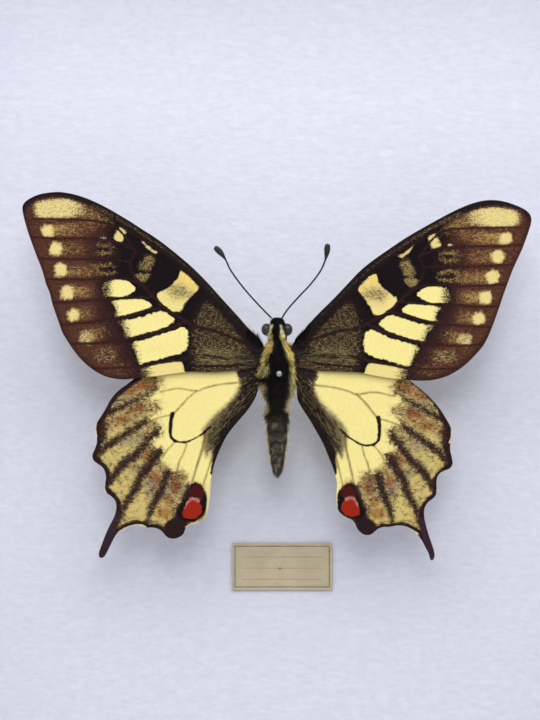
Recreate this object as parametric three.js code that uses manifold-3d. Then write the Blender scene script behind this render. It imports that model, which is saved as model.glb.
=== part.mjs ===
// Spread swallowtail butterfly, pinned over a pale sheet in a glazed wooden shadow box.
// Millimetres, +Z up. The case stands on its bottom edge and its pane faces -Y.
import * as THREE from 'three';
import { mergeVertices } from 'three/addons/utils/BufferGeometryUtils.js';
import Module from 'manifold-3d';

const wasm = await Module();
wasm.setup();

// Case: rails, pane and the layers behind it
const OPENING_WIDTH = 122;
const OPENING_HEIGHT = 172;
const MOULDING_WIDTH = 14;
const CASE_DEPTH = 50;
const LIP_DEPTH = 4;
const LIP_COVER = 4;
const OUTER_EDGE_RADIUS = 2.5;
const SIGHT_SLOPE = { width: 3.5, depth: 1.6 };
const BACK_RECESS = 3.2;
const PANE_THICKNESS = 2;
const SHEET_THICKNESS = 0.4;
const FOAM_THICKNESS = 10;
const BOARD_THICKNESS = 3;
const GAP = 0.25;
const CUT_GAP = 0.3;

// Points that hold the back board, and the hanger riveted to it
const POINT = { width: 8, inWood: 4.7, overBoard: 9, thickness: 0.5, nose: 2 };
const POINT_PLACES = { upright: [-45, 45], level: [0] };
const HANGER = { width: 44, height: 8, gauge: 0.8, rise: 1.1, ear: 7, ramp: 1.6, belowTop: 22 };
const TOOTH = { count: 10, pitch: 2.4, height: 1.5, share: 0.45 };
const RIVET = { shank: 1, head: 2.1, dome: 0.7, round: 0.72, fromEnd: 3.6 };

// Specimen: sizes in millimetres, outlines as photograph pixels in the plane of the wings
const WINGSPAN = 75;
const WINGSPAN_PX = 506;
const BODY_AXIS_PX = 277.5;
const CASE_CENTRE_PX = 392;
const WINGS_ABOVE_SHEET = 16;
const WING_THICKNESS = 0.3;
const HINDWING_SETBACK = 0.7;
const WING_RISE = { forewing: 1.6, hindwing: 1.1, power: 1.6 };
const WING_RINGS = [0.4, 0.75, 1];

// Label: card on the sheet, at its size there
const LABEL = { width: 15.7, height: 7.4, thickness: 0.3, x: 0.8, belowCentre: 27.7 };

// Pin
const PIN = { radius: 0.25, head: 0.5, headLength: 0.6, aboveThorax: 4.5, inFoam: 8.5, tip: 1.2 };
const PIN_PX = [279, 373.4];
// Round of the head: shares of its radius and of its length, from the top down
const PIN_HEAD = [[0.7, 0.2], [1, 0.5], [0.7, 0.85]];

// Body: outline stations as [photograph row, half width, half depth, set back from the wings]
const THORAX_STATIONS = [
  [341.2, 0.9, 1.0, 0.6],
  [345, 1.55, 1.7, 0.8],
  [354, 2.15, 2.3, 0.9],
  [366, 2.35, 2.5, 1.0],
  [378, 2.25, 2.4, 1.0],
  [386, 1.95, 2.1, 0.9],
  [391, 1.45, 1.6, 0.8],
];
const ABDOMEN_STATIONS = [
  [396.8, 1.25, 1.3, 0.8],
  [402, 1.5, 1.5, 0.8],
  [414, 1.62, 1.65, 0.9],
  [430, 1.62, 1.6, 1.0],
  [445, 1.4, 1.4, 1.1],
  [458, 1.15, 1.15, 1.2],
  [468, 0.9, 0.9, 1.2],
  [475, 0.55, 0.6, 1.2],
];
const HEAD_STATIONS = [
  [318.8, 0.5, 0.5, 0.3],
  [322, 1.0, 0.95, 0.4],
  [328, 1.25, 1.15, 0.5],
  [332, 1.2, 1.1, 0.5],
  [336, 1.0, 0.95, 0.5],
];
const BODY_SIDES = 18;
const EYE = { radius: 0.85, left: [266.6, 329.5], right: [287.4, 329.5], back: 0.6 };

// Antennae: path and radius at each point, root to club
const ANTENNA_LEFT_PX = [[271.5, 318], [262, 308.5], [250, 295.5], [240, 283.5], [230.5, 270], [226, 260.5],
  [221, 253.5], [215, 247.5]];
const ANTENNA_RIGHT_PX = [[282, 318], [288, 309], [300, 295.5], [310, 285], [319.5, 272.5], [324.5, 262],
  [326.5, 253.5], [327.3, 244.5]];
const ANTENNA_RADII = [0.13, 0.13, 0.13, 0.13, 0.14, 0.2, 0.4, 0.3];
const ANTENNA = { start: 0.1, end: -1.4, sides: 7, stepsPerSpan: 3 };

// Legs folded under the body: row of each root, reach and fold, in millimetres from the root
const LEG_ROWS_PX = { front: 349, middle: 364, hind: 379 };
const LEG_FOLD = {
  front: [[0.7, 0, 0], [1.1, 0.5, 1.0], [1.4, 0.9, 2.4], [1.1, 1.4, 0.4], [0.9, 1.7, -1.4]],
  middle: [[0.7, 0, 0], [1.5, 0.7, 0.4], [2.1, 1.3, -1.0], [1.9, 1.8, -3.0], [1.7, 2.0, -5.0]],
  hind: [[0.7, 0, 0], [1.2, 0.5, -1.8], [1.4, 0.9, -4.2], [1.1, 1.2, -7.0], [0.9, 1.3, -9.6]],
};
const LEG_RADII = [0.24, 0.22, 0.15, 0.12, 0.08];
const LEG = { behindThorax: 0.35, sides: 6, stepsPerSpan: 2 };

// How far the end point of a rod stands out, as a share of its radius
const ROD_END = { start: 0.5, tip: 0.8 };

// Wing outlines in photograph pixels. Each starts at the root and runs along the front edge.
const FOREWING_LEFT_PX = [
  [259.5, 350], [257.5, 341.5], [250, 330.5], [240, 318.5], [230, 307.5], [220, 296.5], [210, 285.3],
  [200, 274.8], [190, 265.3], [180, 256.8], [170, 248.7], [160, 241], [150, 234.3], [140, 228],
  [130, 221.5], [120, 215.5], [110, 209.7], [100, 204.5], [90, 200], [80, 196.5], [70, 194],
  [60, 192.8], [50, 193.5], [40, 195.5], [32, 199], [27, 202.5], [24.3, 206.5], [24, 211],
  [25.5, 219], [28, 228], [31, 237.5], [34.8, 248], [38.5, 258], [42.5, 268], [45.3, 277],
  [47.5, 285], [51, 293.5], [53.2, 303], [56.5, 313], [60, 323], [63.2, 332], [68, 340.5],
  [74, 349.5], [81, 358.5], [90, 367], [100, 373.6], [110, 377.6], [122, 379.3], [133, 378.8],
  [145, 377.5], [160, 375.5], [175, 373.3], [190, 371.8], [210, 372.2], [228, 371.4], [243, 369.5],
  [254, 364.5], [258.5, 358],
];
const FOREWING_RIGHT_PX = [
  [296.5, 349], [299.5, 338], [305, 330], [312, 320.5], [320, 312], [330, 302.3], [340, 292],
  [350, 281.3], [360, 271], [370, 262.6], [380, 255.4], [390, 248.5], [400, 241.7], [410, 235.4],
  [420, 229.6], [430, 224], [440, 218.5], [450, 213.2], [460, 208.5], [470, 204.5], [480, 201.8],
  [490, 200.8], [500, 201.7], [510, 204.4], [520, 208.6], [526, 212.5], [529.3, 217.5], [529.6, 223],
  [527.2, 232], [524, 241], [520.5, 250.3], [516, 260], [511.5, 270], [507.4, 281], [503, 293],
  [497.6, 309], [492.3, 324], [487, 337], [482.3, 345.5], [476.3, 353], [464.8, 364.6],
  [452.5, 373.1], [442.2, 377.6], [430.1, 380.3], [416.4, 380.6], [404, 379.6], [390, 378],
  [375, 375.6], [360, 372.6], [345, 371.8], [330, 371.5], [317, 370.5], [304, 366], [297.5, 358],
];
const HINDWING_LEFT_PX = [
  [259.5, 369], [253, 363.5], [240, 361.5], [222, 361], [205, 361], [185, 362.5], [165, 365.5],
  [150, 369.5], [139, 375], [128, 383.5], [120, 389.3], [114.5, 394.5], [110, 400.5], [106, 408],
  [101.5, 415.5], [97, 422.5], [95.4, 429], [96.8, 436], [96.8, 443], [94.6, 449.5], [92.3, 455.5],
  [94, 461], [99, 464.6], [103, 468], [105.3, 473], [106, 478.5], [104.8, 483.5], [104.2, 488],
  [106, 492.5], [111, 496.2], [115, 500.5], [116.3, 506], [115.6, 512], [113.5, 518], [110.5, 524],
  [107, 531], [103.8, 539], [101, 546.5], [99.2, 551.5], [98.7, 555.2], [100.2, 557.8], [103, 557.6],
  [105.6, 554.8], [108.3, 549.5], [111.5, 543], [115.2, 536], [119, 531.5], [125, 528.4], [131, 526],
  [137, 525.2], [142, 526.2], [147, 527.8], [153, 527.8], [158, 529.2], [162, 531.8], [165, 535.5],
  [169, 538.3], [174, 538.9], [179, 537.5], [183, 534.5], [184.8, 530.5], [186.5, 527], [190, 524.8],
  [195, 523.8], [200, 521.6], [204, 518.2], [206.8, 513], [208.3, 506.5], [209.5, 499], [210.3, 490],
  [211, 480], [212.8, 470], [216, 459], [220.5, 448], [226, 437], [232.5, 428], [239.5, 419.8],
  [247, 411], [252.5, 403], [256.5, 395], [259, 385],
];
const HINDWING_RIGHT_PX = [
  [296, 370.5], [303, 364.5], [316, 362], [334, 361.5], [352, 362], [372, 364.5], [390, 368.5],
  [402, 373.5], [410, 380.5], [418, 387], [426.5, 394], [433.8, 401.5], [440, 409], [444.5, 416],
  [449, 423.5], [451.7, 430.5], [451.8, 437], [450.5, 443], [450.3, 450], [452, 458], [452.6, 464],
  [449.6, 468.6], [444.5, 470.6], [439.9, 473.4], [437.2, 478], [436.4, 484], [437, 490],
  [436.2, 494.6], [432.9, 498.8], [428.3, 502.2], [425, 507.6], [424.2, 513.2], [425, 520.6],
  [427.8, 531.8], [431.5, 542.9], [434.2, 551.5], [434.6, 556.5], [432.8, 560.3], [430.4, 559.4],
  [428.7, 553.5], [425.9, 548.3], [422.2, 541], [417.6, 534.8], [412, 529.6], [405.5, 526.4],
  [398, 525.6], [390.6, 527], [383.5, 527.3], [378, 529.2], [374, 532.7], [369.3, 535.3],
  [363.5, 534.6], [358.3, 530.2], [355, 524.4], [352, 520], [347.5, 518], [342.3, 515],
  [338.3, 510.2], [336.6, 502], [336.5, 492], [337.2, 484.5], [335.3, 475], [332, 465],
  [328, 455.5], [323.3, 444.2], [317, 432.5], [310, 420.5], [302, 408], [297.5, 399], [296.2, 386],
];
const FOREWING_LEFT_HUB_PX = [140, 300];
const FOREWING_RIGHT_HUB_PX = [414, 303];
const HINDWING_LEFT_HUB_PX = [165, 440];
const HINDWING_RIGHT_HUB_PX = [381, 443];

// Colours
const WALNUT = 0x4a2f1e;
const CLEAR = 0xe8f0f2;
const WHITE_CARD = 0xe6e7ee;
const BLUISH_SHEET = 0xdfe0ee;
const FOAM_WHITE = 0xf0f0ee;
const HARDBOARD = 0x7d5f41;
const STEEL = 0xa9abae;
const BRASSED = 0xa98c4f;
const CREAM_CARD = 0xcdbfa4;
const UMBER = 0x2a1a16;
const STRAW = 0xe0cf86;
const DARK_FUR = 0x2c2822;
const EYE_BROWN = 0x2b1f24;

// Places worked out from the sizes above
const CASE_WIDTH = OPENING_WIDTH + 2 * MOULDING_WIDTH;
const CASE_HEIGHT = OPENING_HEIGHT + 2 * MOULDING_WIDTH;
const MIDDLE = CASE_HEIGHT / 2;
const FRONT = -CASE_DEPTH / 2;
const RABBET_WIDTH = OPENING_WIDTH + 2 * LIP_COVER;
const RABBET_HEIGHT = OPENING_HEIGHT + 2 * LIP_COVER;
const PANE_FRONT = FRONT + LIP_DEPTH + GAP;
const BOARD_BACK = CASE_DEPTH / 2 - BACK_RECESS;
const FOAM_BACK = BOARD_BACK - BOARD_THICKNESS - GAP;
const SHEET_BACK = FOAM_BACK - FOAM_THICKNESS - GAP;
const SHEET_FRONT = SHEET_BACK - SHEET_THICKNESS;
const SPACER_FRONT = PANE_FRONT + PANE_THICKNESS + GAP;
const SPACER_DEPTH = SHEET_FRONT - GAP - SPACER_FRONT;
const WING_PLANE = SHEET_FRONT - WINGS_ABOVE_SHEET;
const MM_PER_PX = WINGSPAN / WINGSPAN_PX;

function finish(color, roughness, metalness = 0) {
  return new THREE.MeshStandardMaterial({ color, roughness, metalness });
}

const MATERIALS = {
  wood: finish(WALNUT, 0.5),
  pane: new THREE.MeshStandardMaterial({ color: CLEAR, roughness: 0.05, transparent: true, opacity: 0.2 }),
  card: finish(WHITE_CARD, 0.85),
  sheet: finish(BLUISH_SHEET, 0.9),
  foam: finish(FOAM_WHITE, 0.95),
  board: finish(HARDBOARD, 0.8),
  steel: finish(STEEL, 0.35, 0.9),
  brass: finish(BRASSED, 0.4, 0.9),
  label: finish(CREAM_CARD, 0.85),
  forewing: finish(UMBER, 0.8),
  hindwing: finish(STRAW, 0.8),
  fur: finish(DARK_FUR, 0.95),
  eye: finish(EYE_BROWN, 0.3),
};

const model = new THREE.Group();

// A named mesh, added to a group
function addPiece(name, geometry, material, group = model) {
  const mesh = new THREE.Mesh(geometry, material);
  mesh.name = name;
  group.add(mesh);
  return mesh;
}

// A closed surface from its vertices and triangles
function surface(vertices, triangles) {
  const geometry = new THREE.BufferGeometry();
  geometry.setAttribute('position', new THREE.Float32BufferAttribute(vertices.flat(), 3));
  geometry.setIndex(triangles.flat());
  geometry.computeVertexNormals();
  return geometry;
}

function toSolid(geometry) {
  const bare = geometry.clone();
  bare.deleteAttribute('normal');
  bare.deleteAttribute('uv');
  const merged = mergeVertices(bare, 1e-4);
  const vertProperties = new Float32Array(merged.attributes.position.array);
  const triVerts = new Uint32Array(merged.index.array);
  return new wasm.Manifold(new wasm.Mesh({ numProp: 3, vertProperties, triVerts }));
}

function fromSolid(solid) {
  const mesh = solid.getMesh();
  const geometry = new THREE.BufferGeometry();
  geometry.setAttribute('position', new THREE.BufferAttribute(mesh.vertProperties, 3));
  geometry.setIndex(new THREE.BufferAttribute(mesh.triVerts, 1));
  geometry.computeVertexNormals();
  return geometry;
}

// A geometry with each of the tools cut out of it
function cutAway(geometry, tools) {
  const cut = tools.reduce((solid, tool) => solid.subtract(toSolid(tool)), toSolid(geometry));
  return fromSolid(cut);
}

// A box that fills x, y and z ranges
function boxBetween([x0, x1], [y0, y1], [z0, z1]) {
  const geometry = new THREE.BoxGeometry(x1 - x0, y1 - y0, z1 - z0);
  return geometry.translate((x0 + x1) / 2, (y0 + y1) / 2, (z0 + z1) / 2);
}

// A round bar along Y
function bar(radius, [y0, y1], x, z, sides = 12) {
  const geometry = new THREE.CylinderGeometry(radius, radius, y1 - y0, sides);
  return geometry.translate(x, (y0 + y1) / 2, z);
}

// A place in the plane of the wings, from a photograph pixel
function placeOf([px, py]) {
  return { x: (px - BODY_AXIS_PX) * MM_PER_PX, z: MIDDLE + (CASE_CENTRE_PX - py) * MM_PER_PX };
}

// Section of the rails: u runs inward from the outer edge, w back from the front
function railSection() {
  const section = new THREE.Shape();
  const rabbet = MOULDING_WIDTH - LIP_COVER;
  section.moveTo(0, OUTER_EDGE_RADIUS);
  section.lineTo(0, CASE_DEPTH);
  section.lineTo(rabbet, CASE_DEPTH);
  section.lineTo(rabbet, LIP_DEPTH);
  section.lineTo(MOULDING_WIDTH, LIP_DEPTH);
  section.lineTo(MOULDING_WIDTH, SIGHT_SLOPE.depth);
  section.lineTo(MOULDING_WIDTH - SIGHT_SLOPE.width, 0);
  section.lineTo(OUTER_EDGE_RADIUS, 0);
  section.absarc(OUTER_EDGE_RADIUS, OUTER_EDGE_RADIUS, OUTER_EDGE_RADIUS, -Math.PI / 2, Math.PI, true);
  return section;
}

// A rail along Z with its ends cut at 45 degrees
function mitredRail(length) {
  const settings = { depth: 1, bevelEnabled: false, curveSegments: 4 };
  const geometry = new THREE.ExtrudeGeometry(railSection(), settings);
  const position = geometry.attributes.position;
  for (let i = 0; i < position.count; i += 1) {
    const half = length / 2 - position.getX(i) - GAP / 2;
    position.setZ(i, (2 * position.getZ(i) - 1) * half);
  }
  geometry.computeVertexNormals();
  return geometry;
}

// One steel point, flat against the back board, its nose in the rail
function steelPoint() {
  const rabbet = MOULDING_WIDTH - LIP_COVER;
  const half = POINT.width / 2;
  const outline = [
    [rabbet - POINT.inWood, -half + POINT.nose],
    [rabbet - POINT.inWood + POINT.nose, -half],
    [rabbet + POINT.overBoard - POINT.nose, -half],
    [rabbet + POINT.overBoard, -half + POINT.nose],
    [rabbet + POINT.overBoard, half - POINT.nose],
    [rabbet + POINT.overBoard - POINT.nose, half],
    [rabbet - POINT.inWood + POINT.nose, half],
    [rabbet - POINT.inWood, half - POINT.nose],
  ];
  const shape = new THREE.Shape(outline.map(([u, along]) => new THREE.Vector2(u, along)));
  const geometry = new THREE.ExtrudeGeometry(shape, { depth: POINT.thickness, bevelEnabled: false });
  return geometry.rotateX(-Math.PI / 2);
}

function addFrame() {
  const rabbet = MOULDING_WIDTH - LIP_COVER;
  const pointFront = CASE_DEPTH - BACK_RECESS + CUT_GAP;
  const { level, upright } = POINT_PLACES;
  const quarter = Math.PI / 2;
  const sides = [
    { name: 'rail_bottom', length: CASE_WIDTH, turn: -quarter, x: 0, z: 0, points: level },
    { name: 'rail_top', length: CASE_WIDTH, turn: quarter, x: 0, z: CASE_HEIGHT, points: level },
    { name: 'rail_left', length: CASE_HEIGHT, turn: 0, x: -CASE_WIDTH / 2, z: MIDDLE, points: upright },
    { name: 'rail_right', length: CASE_HEIGHT, turn: Math.PI, x: CASE_WIDTH / 2, z: MIDDLE, points: upright },
  ];
  let count = 0;
  for (const side of sides) {
    const group = new THREE.Group();
    group.position.set(side.x, FRONT, side.z);
    group.rotation.y = side.turn;
    model.add(group);
    const slots = side.points.map((along) => boxBetween(
      [rabbet - POINT.inWood - CUT_GAP, rabbet + 1],
      [pointFront - CUT_GAP, pointFront + POINT.thickness + CUT_GAP],
      [along - POINT.width / 2 - CUT_GAP, along + POINT.width / 2 + CUT_GAP],
    ));
    addPiece(side.name, cutAway(mitredRail(side.length), slots), MATERIALS.wood, group);
    for (const along of side.points) {
      count += 1;
      const point = addPiece(`point_tab_${count}`, steelPoint(), MATERIALS.steel, group);
      point.position.set(0, pointFront, along);
    }
  }
}

function addLayers(pinHole, rivetHoles) {
  const x = [-RABBET_WIDTH / 2 + GAP, RABBET_WIDTH / 2 - GAP];
  const z = [MIDDLE - RABBET_HEIGHT / 2 + GAP, MIDDLE + RABBET_HEIGHT / 2 - GAP];
  const pane = boxBetween(x, [PANE_FRONT, PANE_FRONT + PANE_THICKNESS], z);
  addPiece('glass_pane', pane, MATERIALS.pane);
  const sheet = boxBetween(x, [SHEET_FRONT, SHEET_BACK], z);
  addPiece('backing_paper', cutAway(sheet, [pinHole]), MATERIALS.sheet);
  const foam = boxBetween(x, [FOAM_BACK - FOAM_THICKNESS, FOAM_BACK], z);
  addPiece('pinning_foam', cutAway(foam, [pinHole]), MATERIALS.foam);
  const board = boxBetween(x, [BOARD_BACK - BOARD_THICKNESS, BOARD_BACK], z);
  addPiece('back_board', cutAway(board, rivetHoles), MATERIALS.board);

  const y = [SPACER_FRONT, SPACER_FRONT + SPACER_DEPTH];
  const inner = OPENING_WIDTH / 2;
  addPiece('spacer_left', boxBetween([x[0], -inner], y, z), MATERIALS.card);
  addPiece('spacer_right', boxBetween([inner, x[1]], y, z), MATERIALS.card);
  const across = [-inner + GAP, inner - GAP];
  const sill = MIDDLE - OPENING_HEIGHT / 2;
  const lintel = MIDDLE + OPENING_HEIGHT / 2;
  addPiece('spacer_bottom', boxBetween(across, y, [z[0], sill]), MATERIALS.card);
  addPiece('spacer_top', boxBetween(across, y, [lintel, z[1]]), MATERIALS.card);
}

// A bent steel strip with a toothed lower edge
function sawtoothStrip(top) {
  const half = HANGER.width / 2;
  const flat = half - HANGER.ear;
  const raised = flat - HANGER.ramp;
  const upper = [[-half, 0], [-flat, 0], [-raised, HANGER.rise], [raised, HANGER.rise], [flat, 0], [half, 0]];
  const lower = upper.map(([x, y]) => [x, y + HANGER.gauge]).reverse();
  const shape = new THREE.Shape([...upper, ...lower].map(([x, y]) => new THREE.Vector2(x, y)));
  const strip = new THREE.ExtrudeGeometry(shape, { depth: HANGER.height, bevelEnabled: false });
  strip.translate(0, BOARD_BACK + CUT_GAP, top - HANGER.height);
  const notches = [];
  for (let i = 0; i < TOOTH.count; i += 1) {
    const x = (i - (TOOTH.count - 1) / 2) * TOOTH.pitch;
    const wide = TOOTH.pitch * TOOTH.share;
    const corners = [[x - wide, -1], [x + wide, -1], [x, TOOTH.height]];
    const notch = new THREE.Shape(corners.map((p) => new THREE.Vector2(...p)));
    const prism = new THREE.ExtrudeGeometry(notch, { depth: 3 * HANGER.rise, bevelEnabled: false });
    prism.rotateX(Math.PI / 2);
    notches.push(prism.translate(0, BOARD_BACK + 3 * HANGER.rise, top - HANGER.height));
  }
  return { strip, notches };
}

function addHanger() {
  const top = MIDDLE + RABBET_HEIGHT / 2 - HANGER.belowTop;
  const { strip, notches } = sawtoothStrip(top);
  const rivetZ = top - HANGER.height / 2;
  const rivetX = HANGER.width / 2 - RIVET.fromEnd;
  const holes = [-rivetX, rivetX].map((x) => bar(
    RIVET.shank + CUT_GAP,
    [BOARD_BACK - BOARD_THICKNESS - 1, BOARD_BACK + BACK_RECESS],
    x,
    rivetZ,
  ));
  addPiece('sawtooth_hanger', cutAway(strip, [...notches, ...holes]), MATERIALS.brass);
  const seat = BOARD_BACK + CUT_GAP + HANGER.gauge + CUT_GAP;
  const start = BOARD_BACK - BOARD_THICKNESS;
  const shoulder = [RIVET.head * RIVET.round, seat + RIVET.dome * RIVET.round];
  const profile = [[0, start], [RIVET.shank, start], [RIVET.shank, seat], [RIVET.head, seat], shoulder,
    [0, seat + RIVET.dome]];
  for (const [name, x] of [['hanger_rivet_left', -rivetX], ['hanger_rivet_right', rivetX]]) {
    const rivet = new THREE.LatheGeometry(profile.map((p) => new THREE.Vector2(...p)), 12);
    addPiece(name, rivet, MATERIALS.brass).position.set(x, 0, rivetZ);
  }
  return holes;
}

// How far the wings rise towards the pane, from the body out
function wingRise(x, rise) {
  return rise * (Math.abs(x) / (WINGSPAN / 2)) ** WING_RISE.power;
}

// A thin plate: rings of vertices from a hub out to the outline, front and back, and a rim
function wingPlate(outline, hub, setBack, rise) {
  const centre = placeOf(hub);
  const edge = outline.map(placeOf);
  const count = edge.length;
  const vertices = [];
  const layerSize = 1 + WING_RINGS.length * count;
  for (const side of [-0.5, 0.5]) {
    const addVertex = (x, z) => {
      vertices.push([x, WING_PLANE + setBack - wingRise(x, rise) + side * WING_THICKNESS, z]);
    };
    addVertex(centre.x, centre.z);
    for (const ring of WING_RINGS) {
      for (const point of edge) {
        addVertex(centre.x + ring * (point.x - centre.x), centre.z + ring * (point.z - centre.z));
      }
    }
  }
  const clockwise = THREE.ShapeUtils.area(edge.map(({ x, z }) => new THREE.Vector2(x, z))) < 0;
  const triangles = [];
  const addTriangle = (a, b, c) => triangles.push(clockwise ? [a, c, b] : [a, b, c]);
  for (let i = 0; i < count; i += 1) {
    const next = (i + 1) % count;
    addTriangle(0, 1 + i, 1 + next);
    addTriangle(layerSize, layerSize + 1 + next, layerSize + 1 + i);
    for (let ring = 0; ring + 1 < WING_RINGS.length; ring += 1) {
      const a = 1 + ring * count + i;
      const b = 1 + ring * count + next;
      addTriangle(a, a + count, b + count);
      addTriangle(a, b + count, b);
      addTriangle(layerSize + a, layerSize + b + count, layerSize + a + count);
      addTriangle(layerSize + a, layerSize + b, layerSize + b + count);
    }
    const rim = 1 + (WING_RINGS.length - 1) * count;
    addTriangle(rim + i, layerSize + rim + i, layerSize + rim + next);
    addTriangle(rim + i, layerSize + rim + next, rim + next);
  }
  return surface(vertices, triangles);
}

// Rings of vertices along a path, closed by a point at each end
function closedRings(rings, start, end) {
  const sides = rings[0].length;
  const vertices = [...rings.flat(), start, end];
  const first = rings.length * sides;
  const triangles = [];
  for (let i = 0; i < sides; i += 1) {
    const next = (i + 1) % sides;
    triangles.push([first, next, i]);
    const last = (rings.length - 1) * sides;
    triangles.push([first + 1, last + i, last + next]);
    for (let ring = 0; ring + 1 < rings.length; ring += 1) {
      const a = ring * sides;
      triangles.push([a + i, a + next, a + sides + next]);
      triangles.push([a + i, a + sides + next, a + sides + i]);
    }
  }
  return surface(vertices, triangles);
}

// A spindle along -Z through oval stations
function spindle(stations, cap) {
  const rings = stations.map(([row, halfWidth, halfDepth, back]) => {
    const { z } = placeOf([BODY_AXIS_PX, row]);
    const ring = [];
    for (let i = 0; i < BODY_SIDES; i += 1) {
      const turn = (2 * Math.PI * i) / BODY_SIDES;
      ring.push([halfWidth * Math.cos(turn), WING_PLANE + back - halfDepth * Math.sin(turn), z]);
    }
    return ring;
  });
  const tip = ([row, , , back], offset) => [0, WING_PLANE + back, placeOf([BODY_AXIS_PX, row]).z + offset];
  const start = tip(stations[0], cap);
  const end = tip(stations[stations.length - 1], -cap);
  return closedRings(rings, start, end);
}

// A tapered rod along a smooth path
function rod(points, radii, { sides, stepsPerSpan }) {
  const curve = new THREE.CatmullRomCurve3(points.map((p) => new THREE.Vector3(...p)), false, 'centripetal');
  const steps = (points.length - 1) * stepsPerSpan;
  const frames = curve.computeFrenetFrames(steps, false);
  const rings = [];
  for (let i = 0; i <= steps; i += 1) {
    const at = i / steps;
    const span = Math.min(at * (radii.length - 1), radii.length - 1.000001);
    const low = Math.floor(span);
    const radius = THREE.MathUtils.lerp(radii[low], radii[low + 1], span - low);
    const centre = curve.getPointAt(at);
    const ring = [];
    for (let side = 0; side < sides; side += 1) {
      const turn = (2 * Math.PI * side) / sides;
      const offset = frames.normals[i].clone().multiplyScalar(Math.cos(turn) * radius);
      offset.addScaledVector(frames.binormals[i], Math.sin(turn) * radius);
      ring.push(centre.clone().add(offset).toArray());
    }
    rings.push(ring);
  }
  const start = curve.getPointAt(0).addScaledVector(frames.tangents[0], -radii[0] * ROD_END.start);
  const tipReach = radii[radii.length - 1] * ROD_END.tip;
  const tip = curve.getPointAt(1).addScaledVector(frames.tangents[steps], tipReach);
  return closedRings(rings, start.toArray(), tip.toArray());
}

function addWings() {
  const { forewing, hindwing } = WING_RISE;
  const left = wingPlate(FOREWING_LEFT_PX, FOREWING_LEFT_HUB_PX, 0, forewing);
  addPiece('forewing_left', left, MATERIALS.forewing);
  const right = wingPlate(FOREWING_RIGHT_PX, FOREWING_RIGHT_HUB_PX, 0, forewing);
  addPiece('forewing_right', right, MATERIALS.forewing);
  const lowLeft = wingPlate(HINDWING_LEFT_PX, HINDWING_LEFT_HUB_PX, HINDWING_SETBACK, hindwing);
  addPiece('hindwing_left', lowLeft, MATERIALS.hindwing);
  const lowRight = wingPlate(HINDWING_RIGHT_PX, HINDWING_RIGHT_HUB_PX, HINDWING_SETBACK, hindwing);
  addPiece('hindwing_right', lowRight, MATERIALS.hindwing);
}

function addBody(pinHole) {
  addPiece('thorax', cutAway(spindle(THORAX_STATIONS, 0.25), [pinHole]), MATERIALS.fur);
  addPiece('abdomen', spindle(ABDOMEN_STATIONS, 0.3), MATERIALS.fur);
  const sockets = [];
  for (const [name, pixel] of [['eye_left', EYE.left], ['eye_right', EYE.right]]) {
    const { x, z } = placeOf(pixel);
    const ball = (radius) => new THREE.SphereGeometry(radius, 14, 10).translate(x, WING_PLANE + EYE.back, z);
    addPiece(name, ball(EYE.radius), MATERIALS.eye);
    sockets.push(ball(EYE.radius + CUT_GAP));
  }
  addPiece('head', cutAway(spindle(HEAD_STATIONS, 0.2), sockets), MATERIALS.fur);
}

function addAntenna(name, pixels) {
  const points = pixels.map((pixel, i) => {
    const { x, z } = placeOf(pixel);
    const reach = i / (pixels.length - 1);
    return [x, WING_PLANE + THREE.MathUtils.lerp(ANTENNA.start, ANTENNA.end, reach), z];
  });
  addPiece(name, rod(points, ANTENNA_RADII, ANTENNA), MATERIALS.fur);
}

function addLegs() {
  for (const pair of Object.keys(LEG_FOLD)) {
    const { z } = placeOf([BODY_AXIS_PX, LEG_ROWS_PX[pair]]);
    const deepest = Math.max(...THORAX_STATIONS.map(([, , halfDepth, back]) => halfDepth + back));
    const root = WING_PLANE + deepest + LEG.behindThorax;
    for (const [side, sign] of [['left', -1], ['right', 1]]) {
      const points = LEG_FOLD[pair].map(([out, back, up]) => [sign * out, root + back, z + up]);
      addPiece(`leg_${pair}_${side}`, rod(points, LEG_RADII, LEG), MATERIALS.fur);
    }
  }
}

function addPin() {
  const { x, z } = placeOf(PIN_PX);
  const proud = Math.max(...THORAX_STATIONS.map(([, , halfDepth, back]) => halfDepth - back));
  const top = WING_PLANE - proud - PIN.aboveThorax;
  const point = SHEET_BACK + GAP + PIN.inFoam;
  const head = PIN_HEAD.map(([across, along]) => [across * PIN.head, top + along * PIN.headLength]);
  const neck = top + PIN.headLength;
  const profile = [[0, top], ...head, [PIN.radius, neck], [PIN.radius, point - PIN.tip], [0, point]];
  const pin = new THREE.LatheGeometry(profile.map((p) => new THREE.Vector2(...p)), 12);
  addPiece('insect_pin', pin, MATERIALS.steel).position.set(x, 0, z);
  return bar(PIN.radius + CUT_GAP, [top - 1, point + CUT_GAP], x, z);
}

function addLabel() {
  const x = [LABEL.x - LABEL.width / 2, LABEL.x + LABEL.width / 2];
  const back = SHEET_FRONT - GAP;
  const z = MIDDLE - LABEL.belowCentre;
  const card = boxBetween(x, [back - LABEL.thickness, back], [z - LABEL.height / 2, z + LABEL.height / 2]);
  addPiece('data_label', card, MATERIALS.label);
}

addFrame();
const rivetHoles = addHanger();
const pinHole = addPin();
addLayers(pinHole, rivetHoles);
addLabel();
addWings();
addBody(pinHole);
addAntenna('antenna_left', ANTENNA_LEFT_PX);
addAntenna('antenna_right', ANTENNA_RIGHT_PX);
addLegs();

export default model;
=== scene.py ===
"""Looks of a spread swallowtail butterfly, pinned in a glazed wooden shadow box."""

import logging
import math
from collections.abc import Sequence
from dataclasses import dataclass
from enum import Enum

import bmesh
import bpy
import numpy as np
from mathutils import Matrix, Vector
from mathutils.geometry import delaunay_2d_cdt


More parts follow.
